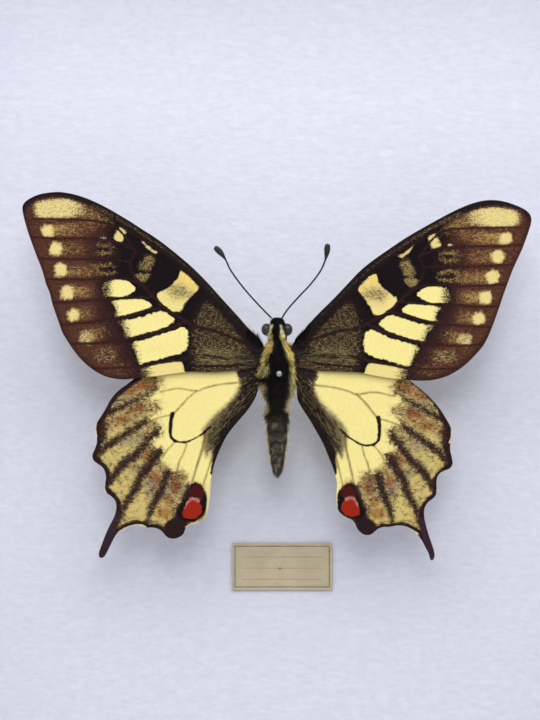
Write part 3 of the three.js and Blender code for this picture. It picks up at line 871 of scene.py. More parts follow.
@dataclass(frozen=True)
class ForewingPattern:
    """Markings of the forewing, in the left wing's photograph pixels."""

    fade_floor: float = 0.22
    tail_widths: Pair = (10, 15)
    vein_strength: float = 0.85
    costa_widths: Pair = (22, 8)
    outer_area: Points = (
        (10, 180), (96, 196), (104, 232), (102, 262), (98, 290), (108, 314), (118, 338), (130, 362),
        (140, 392), (60, 395), (10, 270))
    basal_area: Points = (
        (266, 366), (254, 345), (241, 329), (227, 313), (211, 300), (201, 304), (193, 318), (190, 335),
        (190, 360), (200, 376), (262, 378))
    green_base: Points = (
        (246, 357), (232, 350), (214, 348), (200, 352), (196, 359), (206, 363), (228, 364), (246, 363))
    comets: tuple[Comet, ...] = (
        Comet((49, 231.5), (5.6, 5.4), (88, 229), 0.84, 0.7),
        Comet((56.5, 250), (5.6, 6.0), (96, 249), 0.88, 0.46),
        Comet((61.5, 271), (5.8, 6.6), (112, 270), 0.88, 0.48),
        Comet((68, 293), (5.8, 6.6), (100, 290), 0.84, 0.6),
        Comet((74, 315), (5.2, 6.0), (98, 312), 0.8, 0.5),
        Comet((87, 338), (7.0, 7.0), (112, 330), 0.5, 0.54),
        Comet((105, 355), (10.0, 7.0), (128, 350), 0.3, 0.44),
        Comet((120, 369), (12.0, 4.5), (138, 366), 0.2, 0.38))
    spots: tuple[Spot, ...] = (
        Spot([(36, 206), (41, 202), (50, 200), (60, 198.5), (72, 199), (82, 202), (88, 207), (88, 216),
              (78, 218), (60, 219), (45, 219.5), (37, 216)], Tint.PALE_SPOT, 0.68, 4.0,
             ((64, 208), (100, 213))),
        Spot([(86, 208), (98, 212), (112, 220), (116, 228), (104, 226), (88, 222)], Tint.GOLD_DUST,
             0.38, 5.0),
        Spot([(114, 237), (117, 231), (121, 227), (126, 229), (127, 233), (124, 240), (119, 243),
              (114.5, 240)], Tint.PALE_SPOT, 0.72, 2.4),
        Spot([(101, 238.5), (104, 236.5), (107, 238), (106, 240.5), (102, 240.5)], Tint.CREAM, 0.6, 1.5),
        Spot([(142, 240.5), (147, 244.5), (152, 249), (158, 252.5), (154, 253), (148, 249.5), (144, 245)],
             Tint.PALE_SPOT, 0.66, 1.4),
        Spot([(145, 255), (152, 255), (156, 259), (154, 266), (151, 271.5), (141, 271.5), (138, 266)],
             Tint.OLIVE_DUST, 0.46, 3.0),
        Spot([(137, 273), (151, 273.5), (148, 280), (142, 283), (136, 280), (133.5, 275)],
             Tint.OLIVE_DUST, 0.5, 2.2),
        Spot([(181, 271.5), (190, 276), (199, 287), (195, 293), (189, 300), (184, 305), (180, 312),
              (172, 311), (163, 306), (159, 301), (157, 294), (162, 291), (170, 286), (174, 282),
              (178, 278)], Tint.CELL_SPOT, 0.9, 1.6),
        Spot([(104, 283), (112, 280.5), (121, 280), (129, 282), (136, 288), (132, 293), (126, 296.5),
              (112, 298), (104, 297)], fade=((122, 289), (103, 290)), soft=1.5),
        Spot([(110, 302), (122, 299.8), (138, 299), (146, 300.5), (152, 305), (148, 309), (138, 312),
              (126, 316), (113, 319.5), (116, 310)], fade=((126, 308), (111, 312)), soft=1.5),
        Spot([(118, 321.5), (135, 318.5), (150, 314.5), (162, 311.5), (170, 315.5), (174, 321),
              (166, 327), (150, 332), (138, 336), (126, 340), (124, 330)],
             fade=((138, 324), (119, 331)), soft=1.5),
        Spot([(132, 343), (145, 340), (160, 335), (175, 330), (181, 327), (187.5, 331), (188.5, 342),
              (186, 350), (175, 355.5), (160, 359), (148, 362), (140, 364.5), (136, 356)],
             fade=((146, 346), (129, 350)), soft=1.4),
        Spot([(143, 367), (160, 363), (175, 361), (182, 362.5), (184.5, 370), (183, 378), (142, 380)],
             Tint.CELL_SPOT, 0.86, 2.0, ((160, 369), (139, 373))),
    )
    cell_warmth: Points = ((180, 270), (192, 277), (202, 288), (196, 292), (186, 285), (176, 282))
    cell_dusk: Points = ((166, 290), (172, 284), (184, 284), (194, 292), (194, 298), (184, 299), (172, 299))
    dark_cells: tuple[Points, ...] = (
        [(98, 302), (112, 301), (112, 318), (98, 321)], [(104, 324), (118, 322), (124, 338), (106, 342)],
        [(116, 344), (132, 342), (136, 360), (122, 364)], [(90, 234), (116, 246), (118, 262), (88, 262)],
        [(126, 367), (140, 366), (140, 376), (126, 377)])
    rings: tuple[Pair, ...] = ((106, 250), (107, 269.5))
    costa: Points = (
        (260, 345), (250, 330), (230, 307.5), (210, 285.3), (190, 265.3), (170, 248.7), (150, 234.3),
        (130, 221.5), (110, 209.7), (90, 200), (70, 194), (50, 193.5), (32, 199), (24.3, 208))
    costal_line: Points = (
        (238, 320.5), (218, 298.5), (196, 275.5), (172, 254.8), (146, 236.5), (118, 219), (94, 206.5))
    margin: Points = (
        (24.3, 208), (31, 237.5), (42.5, 268), (51, 293.5), (60, 323), (74, 349.5), (100, 373.6),
        (122, 379.3), (140, 378.4))
    red_vein: Points = ((224, 340), (200, 329), (184, 320), (168, 310.5), (154, 297), (142, 284))
    veins: tuple[Vein, ...] = (
        Vein([(262, 352), (240, 341), (214, 331), (196, 326.5), (180, 317.5), (165, 307.5), (152, 294),
              (141, 284), (133, 274), (131, 262), (136, 252)], (2.4, 2.2), 0.08 * MM),
        Vein([(262, 348), (244, 332), (222, 309), (202, 287), (182, 267), (162, 252), (142, 239),
              (120, 226)], (2.4, 1.8), 0.09 * MM),
        Vein([(262, 345), (240, 321.5), (220, 299.5), (200, 278), (180, 260), (150, 238)], (2.0, 1.4)),
        Vein([(136, 252), (118, 229), (96, 221.5), (60, 220), (33, 220)], (2.2, 1.6)),
        Vein([(134, 250), (114, 241.5), (86, 239), (58, 239), (34, 238)], (2.2, 1.8)),
        Vein([(131, 262), (112, 260), (90, 259.5), (64, 259.5), (42, 259)], (2.4, 2.0)),
        Vein([(141, 284), (124, 278.5), (100, 279.5), (72, 280), (46, 279.5)], (2.4, 2.0)),
        Vein([(154, 297), (132, 298.2), (108, 299), (76, 302), (53, 303)], (2.6, 2.0)),
        Vein([(166, 308), (151, 309.5), (132, 315), (112, 319), (84, 323), (60, 325)], (3.4, 2.0)),
        Vein([(186, 322), (170, 328), (152, 334), (126, 339.5), (100, 343), (70, 344)], (3.8, 2.0)),
        Vein([(250, 358), (226, 358), (196, 356), (182, 359.5), (162, 362.5), (142, 366), (112, 368),
              (92, 368)], (2.6, 2.0)),
        Vein([(250, 362), (236, 365.5), (212, 366), (194, 366)], (2.0, 1.4)),
    )
    hair: tuple[HairPatch, ...] = (
        HairPatch([(265, 350), (254, 344), (244, 350), (239, 358), (246, 367), (258, 369), (265, 362)],
                  (-1.0, 0.3), Tint.HAIR_PURPLE, 0.8 * MM, 0.8),
        HairPatch([(267, 350), (260, 348), (255, 355), (255, 368), (266, 368)], (1.0, 0.3),
                  Tint.FUR_BROWN, 1.2 * MM),
        HairPatch([(252, 358), (236, 351), (212, 350), (200, 355), (206, 362), (232, 364), (252, 366)],
                  (-1.0, 0.0), Tint.GREEN_DUST, 1.0 * MM, 0.3),
        HairPatch([(264, 339), (258, 334), (251, 331), (248, 336), (254, 346), (264, 354), (267, 348)],
                  (-0.3, -1.0), Tint.FUR_BLACK, 0.85 * MM, 4.0),
    )

    def paint(self, painter: ScalePainter) -> None:
        """Lay the forewing's colours.

        Args:
            painter: the painter of the wing's points.
        """
        outer = painter.patch(self.outer_area, 13)
        painter.tone(outer, Tint.UMBER)
        painter.dust(0.5 * outer, Tint.RUSSET_DUST, 0.5)
        basal = painter.patch(self.basal_area, 8)
        painter.tone(basal, Tint.BASE_BROWN)
        painter.dust(basal, Tint.FINE_GOLD, 0.36)
        painter.dust(painter.patch(self.green_base, 6, 2.5), Tint.GREEN_DUST, 0.49)
        for cell in self.dark_cells:
            painter.bare(0.6 * painter.patch(cell, 6), Tint.UMBER_DEEP)
        for comet in self.comets:
            x, y = comet.centre
            tail = painter.stroke([(x, y), comet.tail_end], self.tail_widths, 3.5, 0.2)
            tail = tail * (0.8 + 0.35 * wobble(painter.points * (0.5, 1.6), 6, 9))
            painter.dust(tail, comet.tail_tint, comet.tail_cover)
            painter.dust(painter.spot((x, y), comet.radii, 2.6), Tint.PALE_SPOT, comet.cover)
        for ring in self.rings:
            painter.dust(painter.spot(ring, (11, 6.5), 3.5), Tint.GOLD_DUST, 0.44)
            painter.bare(0.7 * painter.spot(ring, (8, 2.0), 2.0), Tint.INK)
        for spot in self.spots:
            mask = painter.patch(spot.outline, spot.soft)
            if spot.fade:
                mask = mask * (self.fade_floor + (1 - self.fade_floor) * painter.slope(*spot.fade))
            painter.dust(mask, spot.tint, spot.cover)
        painter.stain(0.7 * painter.patch(self.cell_warmth, 5), Tint.WARM_SPOT)
        dusk = painter.patch(self.cell_dusk, 6.5, 2.0)
        painter.cover *= 1 - 0.4 * dusk
        painter.stain(0.5 * dusk, Tint.OLIVE_DUST)
        for vein in self.veins:
            painter.bare(self.vein_strength * painter.stroke(vein.path, vein.widths, 1.1), Tint.UMBER_DEEP)
        painter.tone(0.6 * painter.stroke(self.red_vein, (2.0, 3.0), 1.4), Tint.VEIN_RED)
        painter.bare(painter.stroke(self.costa, self.costa_widths, 3.0), Tint.SOOT)
        painter.dust(painter.stroke(self.costal_line, (1.6, 5.0), 2.2), Tint.FINE_GOLD, 0.34)
        painter.bare(0.6 * painter.stroke(self.margin, (5, 6), 2.5), Tint.UMBER_DEEP)


@dataclass(frozen=True)
class HindwingPattern:
    """Markings of the hindwing, in the left wing's photograph pixels."""

    rust_strength: float = 0.76
    ash_strength: float = 0.6
    band_strength: float = 0.74
    edge_strength: float = 0.72
    vein_strength: float = 0.9
    yellow_area: Points = (
        (262, 352), (150, 352), (158, 372), (163, 384), (158, 393), (151, 397), (160, 402), (160, 411),
        (151, 418), (163, 424), (160, 436), (154, 442), (163, 450), (166, 462), (171, 467), (180, 468),
        (187, 473), (190, 482), (196, 480), (203, 487), (207, 500), (206, 512), (214, 512), (220, 455),
        (236, 425), (262, 395))
    hairy_area: Points = (
        (270, 372), (243, 377), (238, 388), (229, 401), (215, 414), (206, 424), (202, 432), (203, 444),
        (206, 458), (211, 452), (213, 466), (222, 462), (240, 430), (262, 402), (272, 388))
    dark_root: Points = ((264, 372), (250, 384), (246, 398), (234, 414), (222, 434), (216, 452))
    base_patch: Points = ((272, 362), (248, 363), (237, 368), (237, 376), (243, 385), (250, 389), (268, 389))
    rusts: tuple[tuple[Pair, Pair, Tint], ...] = (
        ((128, 391), (9, 6), Tint.RUST), ((142, 386), (6, 4), Tint.BRICK), ((150, 383), (8, 5), Tint.RUST),
        ((133, 410), (8, 4), Tint.RUST), ((122, 420), (9, 5), Tint.RUST), ((139, 407), (5, 4), Tint.BRICK),
        ((104, 422), (4, 5), Tint.BRICK), ((148, 455), (6, 6), Tint.RUST), ((155, 480), (5, 8), Tint.BRICK),
        ((176, 486), (5, 8), Tint.BRICK), ((168, 500), (5, 6), Tint.RUST), ((164, 513), (8, 6), Tint.RUST))
    ashes: tuple[tuple[Pair, Pair], ...] = (
        ((129, 441), (11, 4)), ((130, 400), (8, 4)), ((151, 488), (5, 7)), ((166, 490), (4, 7)),
        ((185, 497), (3, 8)), ((140, 470), (6, 5)))
    band_area: Points = (
        (140, 370), (158, 378), (162, 410), (164, 446), (176, 470), (196, 488), (180, 526), (120, 530),
        (90, 450), (110, 395))
    dark_bands: tuple[Vein, ...] = (
        Vein([(150, 394), (138, 399), (124, 406), (108, 413)], (3, 5)),
        Vein([(150, 418), (143, 423), (130, 431), (116, 440), (98, 453)], (4, 6)),
        Vein([(160, 430), (148, 442), (134, 456), (122, 466), (110, 482)], (7, 6)),
        Vein([(160, 450), (150, 464), (141, 476), (136, 488), (127, 502), (118, 522)], (9, 4)),
        Vein([(167, 474), (162, 488), (156, 500), (151, 510), (147, 522)], (7, 3.5)),
        Vein([(190, 486), (184, 500), (179, 512), (176, 526)], (4, 8)))
    dark_edge: Points = (
        (124, 382), (117, 392), (111, 401), (105, 411), (100, 419), (105, 425), (106, 432), (103, 440),
        (97, 449), (90, 458), (90, 420), (108, 392))
    inner_dusk: Points = ((160, 380), (162, 400), (163, 420), (165, 442), (168, 458), (178, 468), (189, 480))
    lunules: tuple[Points, ...] = (
        [(108, 436), (116, 428), (124, 424), (122, 432), (112, 440)],
        [(97, 455), (108, 448), (122, 443), (134, 440), (126, 452), (116, 462), (112, 470), (109, 461)],
        [(108, 487), (114, 478), (124, 473), (136, 468), (136, 478), (128, 490), (120, 503), (116, 494)],
        [(118, 524), (124, 508), (132, 500), (142, 490), (148, 500), (147, 512), (146, 522), (134, 520)],
        [(150, 522), (154, 511), (160, 504), (166, 504), (172, 516), (170, 525), (160, 523)],
        [(128, 400), (140, 396), (146, 398), (134, 404), (124, 407)])
    margin: Points = (
        (139, 375), (120, 389.3), (110, 400.5), (101.5, 415.5), (95.4, 429), (96.8, 441), (92.3, 455.5),
        (99, 464.6), (105.3, 473), (104.2, 488), (111, 496.2), (116.3, 506), (113.5, 518), (107, 531),
        (101, 546.5), (98.7, 555.2))
    lower_margin: Points = (
        (108.3, 549.5), (115.2, 536), (125, 528.4), (137, 525.2), (147, 527.8), (158, 529.2), (165, 535.5),
        (174, 538.9), (181, 536.5), (184.8, 530.5))
    edge_notches: tuple[Points, ...] = (
        [(96, 424), (95.4, 429), (96.9, 436)], [(104.8, 483.5), (104.2, 488), (106, 492.5)],
        [(119, 531.8), (127, 527.6), (137, 525.2), (146, 527)], [(186, 527.5), (191, 524.8), (198, 522.5)])
    tail: Points = ((114, 518), (109, 532), (103, 547), (101, 556))
    inner_edge: Points = ((260, 392), (254, 403), (239.5, 419.8), (226, 437), (216, 459), (212.5, 473))
    inner_cream: Points = ((211, 480), (209.5, 496), (207.5, 510))
    lobe: Points = (
        (166, 524), (175, 519), (184, 520), (188, 524), (184, 531), (178, 537), (170, 536), (164, 531))
    eye_ring: Points = (
        (195, 483), (202, 486), (206, 494), (207, 504), (205, 513), (199, 519.5), (190, 522.5), (182, 521),
        (177, 517), (177, 510), (182, 503), (187, 494), (190, 487))
    eye_field: Points = (
        (193, 498), (199, 502), (202, 508), (200, 515), (194, 519), (186, 519), (182, 515), (184, 508),
        (188, 501))
    eye_cap: Points = ((196, 485), (202, 489), (204, 497), (199, 500), (194, 496), (188, 499), (190, 491))
    eye_crescent: Points = ((184.5, 508), (188, 501.5), (193, 498.5), (198, 501))
    bar: Points = ((172.5, 414), (170.8, 421), (170.2, 430), (171, 437), (175, 441.5))
    cell_end: Points = ((175, 441), (184, 442.5), (194, 439), (204, 432.5), (210, 427))
    veins: tuple[Vein, ...] = (
        Vein([(252, 380), (243, 382), (220, 384.5), (205, 388), (196, 391), (178, 388.5), (160, 392)],
             (1.8, 1.3)),
        Vein([(196, 391), (187, 399), (179, 408), (172, 415)], (1.7, 1.8)),
        Vein([(170, 415), (158, 418), (150, 421)], (1.2, 1.4)),
        Vein([(175, 442), (168, 449), (163, 456)], (1.3, 1.4)),
        Vein([(187, 442), (184, 452), (179, 462), (177, 472)], (1.6, 1.4)),
        Vein([(205, 433), (203, 446), (198, 462), (192, 482)], (3.2, 1.6)),
        Vein([(217, 442), (212, 458), (206, 476), (203, 486)], (1.8, 1.4)),
    )
    hair: tuple[HairPatch, ...] = (
        HairPatch([(262, 376), (249, 382), (243, 391), (233, 403), (221, 414), (210, 427), (209, 442),
                   (212, 452), (220, 436), (232, 420), (245, 405), (256, 390)], (-0.6, 0.8),
                  Tint.BASE_BROWN, 1.0 * MM, 0.6),
        HairPatch([(260, 378), (249, 384), (243, 392), (233, 404), (221, 415), (211, 428), (210, 442),
                   (214, 448), (221, 433), (233, 416), (246, 401), (255, 389)], (-0.6, 0.8),
                  Tint.HAIR_OLIVE, 1.0 * MM, 0.45),
        HairPatch([(266, 365), (252, 366), (243, 370), (247, 379), (254, 388), (263, 392)], (-0.95, 0.3),
                  Tint.HAIR_PURPLE, 0.75 * MM, 0.55),
        HairPatch([(260, 371), (252, 374), (243, 382), (246, 385), (255, 378)], (-0.8, 0.6),
                  Tint.FUR_PALE, 0.6 * MM, 0.4),
        HairPatch([(268, 368), (260, 368), (257, 380), (258, 392), (264, 392)], (0.95, 0.4),
                  Tint.FUR_BROWN, 1.2 * MM, 0.8),
    )

    def paint(self, painter: ScalePainter) -> None:
        """Lay the hindwing's colours.

        Args:
            painter: the painter of the wing's points.
        """
        everywhere = np.ones(len(painter.points))
        painter.tone(everywhere, Tint.BAND_BROWN)
        painter.dust(everywhere, Tint.BAND_DUST, 0.55)
        for lunule in self.lunules:
            painter.dust(painter.patch(lunule, 5.0, 2.5), Tint.LUNULE, 0.65)
        for centre, radii, tint in self.rusts:
            painter.stain(self.rust_strength * painter.spot(centre, radii, 3.5), tint)
        for centre, radii in self.ashes:
            painter.stain(self.ash_strength * painter.spot(centre, radii, 4), Tint.ASH)
        painter.cover *= 1 - 0.14 * painter.stroke(self.inner_dusk, (22, 22), 8)
        for band in self.dark_bands:
            painter.bare(self.band_strength * painter.stroke(band.path, band.widths, 4.2), Tint.UMBER_DEEP)
        painter.bare(self.edge_strength * painter.patch(self.dark_edge, 4.0, 2.0), Tint.UMBER_DEEP)
        painter.cover *= 1 + 0.24 * wobble(painter.points, 3.2, 17) * painter.patch(self.band_area, 6)
        painter.dust(painter.patch(self.yellow_area, 6.5, 4.0), Tint.STRAW, 1.0)
        painter.bare(0.92 * painter.patch(self.base_patch, 4.5), Tint.HAIR_PURPLE)
        hairy = painter.patch(self.hairy_area, 3)
        painter.tone(hairy, Tint.BASE_BROWN)
        painter.dust(hairy, Tint.HAIR_GREY, 0.66)
        painter.bare(0.68 * painter.stroke(self.dark_root, (19, 9), 6.0), Tint.BASE_BROWN)
        for vein in self.veins:
            painter.stain(self.vein_strength * painter.stroke(vein.path, vein.widths, 1.0), Tint.VEIN_GOLD)
        painter.bare(painter.stroke(self.bar, (4.4, 2.8), 1.4), Tint.SOOT)
        painter.bare(0.85 * painter.stroke(self.cell_end, (2.6, 1.8), 1.0), Tint.BASE_BROWN)
        painter.bare(painter.stroke(self.margin, (8, 9), 2.0), Tint.EDGE_BROWN)
        painter.bare(painter.stroke(self.lower_margin, (8, 8), 1.8), Tint.EDGE_BROWN)
        painter.bare(painter.stroke(self.tail, (11, 12), 1.4), Tint.TAIL)
        painter.bare(painter.patch(self.lobe, 1.8), Tint.EDGE_BROWN)
        painter.bare(painter.stroke(self.inner_edge, (7, 5), 1.8), Tint.SOOT)
        painter.bare(painter.patch(self.eye_ring, 1.6), Tint.INK)
        painter.dust(painter.stroke(self.inner_cream, (3.5, 2.5), 0.9), Tint.CREAM, 1.0)
        painter.dust(painter.patch(self.eye_cap, 1.8), Tint.EYE_CAP, 0.9)
        painter.dust(painter.patch(self.eye_field, 1.2), Tint.EYE_RED, 1.0)
        painter.dust(painter.stroke(self.eye_crescent, (1.6, 3.4), 1.0), Tint.EYE_PINK, 0.62)
        for notch in self.edge_notches:
            painter.dust(painter.stroke(notch, (1.6, 1.6), 0.6), Tint.CREAM, 0.9)


@dataclass(frozen=True)
class Landmarks:
    """Column and row of places on the left wing, then of the same places on the right one."""

    rows: tuple[tuple[float, float, float, float], ...]

    def to_left(self, points: Array) -> Array:
        """Carry points of the right wing to the left one's frame by a quadratic fit.

        Args:
            points: places on the right wing, N x 2.

        Returns:
            The same places on the left wing.
        """
        left, right = np.hsplit(np.array(self.rows, float), 2)
        middle, spread = right.mean(0), right.std(0)
        terms = self._terms((right - middle) / spread)
        fit, *_ = np.linalg.lstsq(terms, left, rcond=None)
        return self._terms((points - middle) / spread) @ fit

    @staticmethod
    def _terms(points: Array) -> Array:
        """Give the terms of a quadratic in two variables."""
        x, y = points[:, 0], points[:, 1]
        return np.column_stack([np.ones(len(x)), x, y, x * x, x * y, y * y])


FOREWING_LANDMARKS = Landmarks((
    (24, 209, 530, 220), (60, 192.8, 490, 200.8), (122, 379.3, 424, 380.5), (181, 271, 377, 273.5),
    (200, 287.5, 355.5, 289), (180, 312.5, 374, 315), (157, 294, 395, 301), (138, 288.5, 416, 295),
    (152, 305, 399.5, 310.5), (174, 321, 379.5, 323.5), (189, 340, 364, 341), (185, 362, 368, 362),
    (240, 318.5, 318, 314.5), (200, 274.5, 355, 275.5), (130, 221.5, 428, 225), (47, 283, 506, 284),
    (74, 349.5, 478, 351)))
HINDWING_LANDMARKS = Landmarks((
    (92.3, 456, 452.5, 464), (104, 488, 437, 494), (99.5, 557, 432, 560.5), (172, 538.6, 369, 535.5),
    (194, 524, 346, 517), (106, 477, 436, 480), (116, 507, 424.5, 510), (118, 532, 421, 537),
    (170.5, 415, 379, 420), (174, 440, 374, 443), (184, 441, 367, 443.5), (193, 391, 359, 394.5),
    (243, 382, 313, 384), (211, 480, 337, 482), (219, 450, 329, 454), (232, 430, 319, 433),
    (246.5, 410, 304, 409), (95.5, 428, 452, 436)))

FOREWING_LEFT = [
    (264.5, 350), (260.5, 340.5), (250.5, 330.5), (240, 318.5), (230, 307.5), (220, 296.5), (210, 285.3),
    (200, 274.8), (190, 265.3), (180, 256.8), (170, 248.7), (160, 241), (150, 234.3), (140, 228),
    (130, 221.5), (120, 215.5), (110, 209.7), (100, 204.5), (90, 200), (80, 196.5), (70, 194),
    (60, 192.8), (50, 193.5), (40, 195.5), (32, 199), (27, 202.5), (24.3, 206.5), (24, 211),
    (25.5, 219), (28, 228), (31, 237.5), (34.8, 248), (38.5, 258), (42.5, 268), (45.3, 277),
    (47.5, 285), (51, 293.5), (53.2, 303), (56.5, 313), (60, 323), (63.2, 332), (68, 340.5),
    (74, 349.5), (81, 358.5), (90, 367), (100, 373.6), (110, 377.6), (122, 379.3), (133, 378.8),
    (145, 377.5), (160, 375.5), (175, 373.3), (190, 371.8), (210, 372.2), (228, 371.4), (243, 369.5),
    (257, 366), (263, 360)]
FOREWING_RIGHT = [
    (291, 350), (295.5, 339.5), (304, 330.3), (312, 320.5), (320, 312), (330, 302.3), (340, 292),
    (350, 281.3), (360, 271), (370, 262.6), (380, 255.4), (390, 248.5), (400, 241.7), (410, 235.4),
    (420, 229.6), (430, 224), (440, 218.5), (450, 213.2), (460, 208.5), (470, 204.5), (480, 201.8),
    (490, 200.8), (500, 201.7), (510, 204.4), (520, 208.6), (526, 212.5), (529.3, 217.5), (529.6, 223),
    (527.2, 232), (524, 241), (520.5, 250.3), (516, 260), (511.5, 270), (507.4, 281), (503, 293),
    (497.6, 309), (492.3, 324), (487, 337), (482.3, 345.5), (476.3, 353), (464.8, 364.6),
    (452.5, 373.1), (442.2, 377.6), (430.1, 380.3), (416.4, 380.6), (404, 379.6), (390, 378),
    (375, 375.6), (360, 372.6), (345, 371.8), (330, 371.5), (317, 370.5), (301, 367.5), (292.5, 361)]
HINDWING_LEFT = [
    (264, 367), (255, 362.5), (240, 361.5), (222, 361), (205, 361), (185, 362.5), (165, 365.5),
    (150, 369.5), (139, 375), (128, 383.5), (120, 389.3), (114.5, 394.5), (110, 400.5), (106, 408),
    (101.5, 415.5), (97, 422.5), (95.4, 429), (96.8, 436), (96.8, 443), (94.6, 449.5), (92.3, 455.5),
    (94, 461), (99, 464.6), (103, 468), (105.3, 473), (106, 478.5), (104.8, 483.5), (104.2, 488),
    (106, 492.5), (111, 496.2), (115, 500.5), (116.3, 506), (115.6, 512), (113.5, 518), (110.5, 524),
    (107, 531), (103.8, 539), (101, 546.5), (99.2, 551.5), (98.7, 555.2), (100.2, 557.8), (103, 557.6),
    (105.6, 554.8), (108.3, 549.5), (111.5, 543), (115.2, 536), (119, 531.5), (125, 528.4), (131, 526),
    (137, 525.2), (142, 526.2), (147, 527.8), (153, 527.8), (158, 529.2), (162, 531.8), (165, 535.5),
    (169, 538.3), (174, 538.9), (179, 537.5), (183, 534.5), (184.8, 530.5), (186.5, 527), (190, 524.8),
    (195, 523.8), (200, 521.6), (204, 518.2), (206.8, 513), (208.3, 506.5), (209.5, 499), (210.3, 490),
    (211, 480), (212.8, 470), (216, 459), (220.5, 448), (226, 437), (232.5, 428), (239.5, 419.8),
    (247, 411), (252.5, 403), (256.5, 395), (259, 385)]
HINDWING_RIGHT = [
    (290.5, 368), (300, 363), (316, 362), (334, 361.5), (352, 362), (372, 364.5), (390, 368.5),
    (402, 373.5), (410, 380.5), (418, 387), (426.5, 394), (433.8, 401.5), (440, 409), (444.5, 416),
    (449, 423.5), (451.7, 430.5), (451.8, 437), (450.5, 443), (450.3, 450), (452, 458), (452.6, 464),
    (449.6, 468.6), (444.5, 470.6), (439.9, 473.4), (437.2, 478), (436.4, 484), (437, 490),
    (436.2, 494.6), (432.9, 498.8), (428.3, 502.2), (425, 507.6), (424.2, 513.2), (425, 520.6),
    (427.8, 531.8), (431.5, 542.9), (434.2, 551.5), (434.6, 556.5), (432.8, 560.3), (430.4, 559.4),
    (428.7, 553.5), (425.9, 548.3), (422.2, 541), (417.6, 534.8), (412, 529.6), (405.5, 526.4),
    (398, 525.6), (390.6, 527), (383.5, 527.3), (378, 529.2), (374, 532.7), (369.3, 535.3),
    (363.5, 534.6), (358.3, 530.2), (355, 524.4), (352, 520), (347.5, 518), (342.3, 515),
    (338.3, 510.2), (336.6, 502), (336.5, 492), (337.2, 484.5), (335.3, 475), (332, 465),
    (328, 455.5), (323.3, 444.2), (317, 432.5), (310, 420.5), (302, 408), (297.5, 399), (296.2, 386)]


def place_piece(name: str, data: bpy.types.ID) -> Piece:
    """Put a mesh, lamp or camera in the scene, at the origin.

    Args:
        name: the piece's name.
        data: what it shows.

    Returns:
        The linked object.
    """
    piece = bpy.data.objects.new(name, data)
    bpy.context.scene.collection.objects.link(piece)
    return piece


def shade_smooth(mesh: bpy.types.Mesh, degrees: float = 180) -> None:
    """Shade a mesh smooth, but for edges sharper than an angle."""
    mesh.polygons.foreach_set("use_smooth", [True] * len(mesh.polygons))
    mesh.set_sharp_from_angle(angle=math.radians(degrees))


def ring_faces(rings: int, sides: int, flipped: bool = False) -> list[list[int]]:
    """Join rings of points, and close both ends at poles.

    Args:
        rings: how many rings there are.
        sides: how many points a ring has.
        flipped: whether the faces look the other way.

    Returns:
        The faces. The poles are the two points after the rings': the first end's, then the last end's.
    """
    faces = []
    for ring in range(rings - 1):
        for side in range(sides):
            a, b = ring * sides + side, ring * sides + (side + 1) % sides
            a, b = (b, a) if flipped else (a, b)
            faces.append([a, b, b + sides, a + sides])
    poles = rings * sides
    for side in range(sides):
        a, b = side, (side + 1) % sides
        a, b = (b, a) if flipped else (a, b)
        faces.append([poles, b, a])
        faces.append([poles + 1, poles - sides + a, poles - sides + b])
    return faces


def sheet_faces(front: Array, count: int) -> list[list[int]]:
    """Close a sheet: its front, the same faces turned over for its back, and walls round its rim.

    Args:
        front: the front's triangles, as vertex numbers.
        count: how many vertices the front has; the back's follow in the same order.

    Returns:
        The faces.
    """
    sides = np.vstack([front[:, [0, 1]], front[:, [1, 2]], front[:, [2, 0]]])
    keys = np.sort(sides, axis=1) @ np.array([count, 1])
    _, first, uses = np.unique(keys, return_index=True, return_counts=True)
    walls = [[b, a, a + count, b + count] for a, b in sides[first[uses == 1]]]
    return [*front.tolist(), *(front[:, ::-1] + count).tolist(), *walls]


def mesh_object(name: str, vertices: Array, faces: list,
                smooth_angle: float | None = 60) -> Piece:
    """Make a mesh object at the origin.

    Args:
        name: the piece's name.
        vertices: N x 3 places in metres.
        faces: lists of vertex numbers.
        smooth_angle: edges sharper than this many degrees stay sharp; None leaves all faces flat.

    Returns:
        The linked object.
    """
    mesh = bpy.data.meshes.new(name)
    places = [tuple(place) for place in np.asarray(vertices, float)]
    mesh.from_pydata(places, [], [tuple(map(int, face)) for face in faces])
    mesh.update()
    if smooth_angle is not None:
        shade_smooth(mesh, smooth_angle)
    return place_piece(name, mesh)


def set_attribute(mesh: bpy.types.Mesh, name: str, values: Array) -> None:
    """Store a number, vector or colour for each vertex.

    Args:
        mesh: the mesh that keeps them.
        name: the attribute's name.
        values: N values, N x 3 vectors or N x 4 colours.
    """
    width = 1 if values.ndim == 1 else values.shape[1]
    kind, key = {1: ("FLOAT", "value"), 3: ("FLOAT_VECTOR", "vector"), 4: ("FLOAT_COLOR", "color")}[width]
    attribute = mesh.attributes.new(name, kind, "POINT")
    attribute.data.foreach_set(key, np.ascontiguousarray(values, np.float32).ravel())


def as_colour(values: Array) -> Array:
    """Add an alpha of 1 to N x 3 colours."""
    return np.column_stack([values, np.ones(len(values))])


def settle(piece: Piece, material: Material, slot: str, *nodes: str) -> None:
    """Give a piece its finish, its body and the CAD nodes that it stands for.

    Args:
        piece: the finished object.
        material: its material.
        slot: not used.
        nodes: the CAD nodes it replaces.
    """
    piece.data.materials.clear()
    piece.data.materials.append(material)
    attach(piece, BODY)
    if nodes:
        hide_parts(*nodes)
    LOG.info("%s: %d faces", piece.name, len(piece.data.polygons))


def dress(node: str, material: Material) -> None:
    """Put a finish on a CAD node that stays as it is.

    Args:
        node: the CAD node.
        material: its finish.
    """
    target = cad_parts[node]
    if not target.material_slots:
        target.data.materials.append(material)
    for place in target.material_slots:
        place.material = material
    LOG.info("%s: dressed with %s", node, material.name)


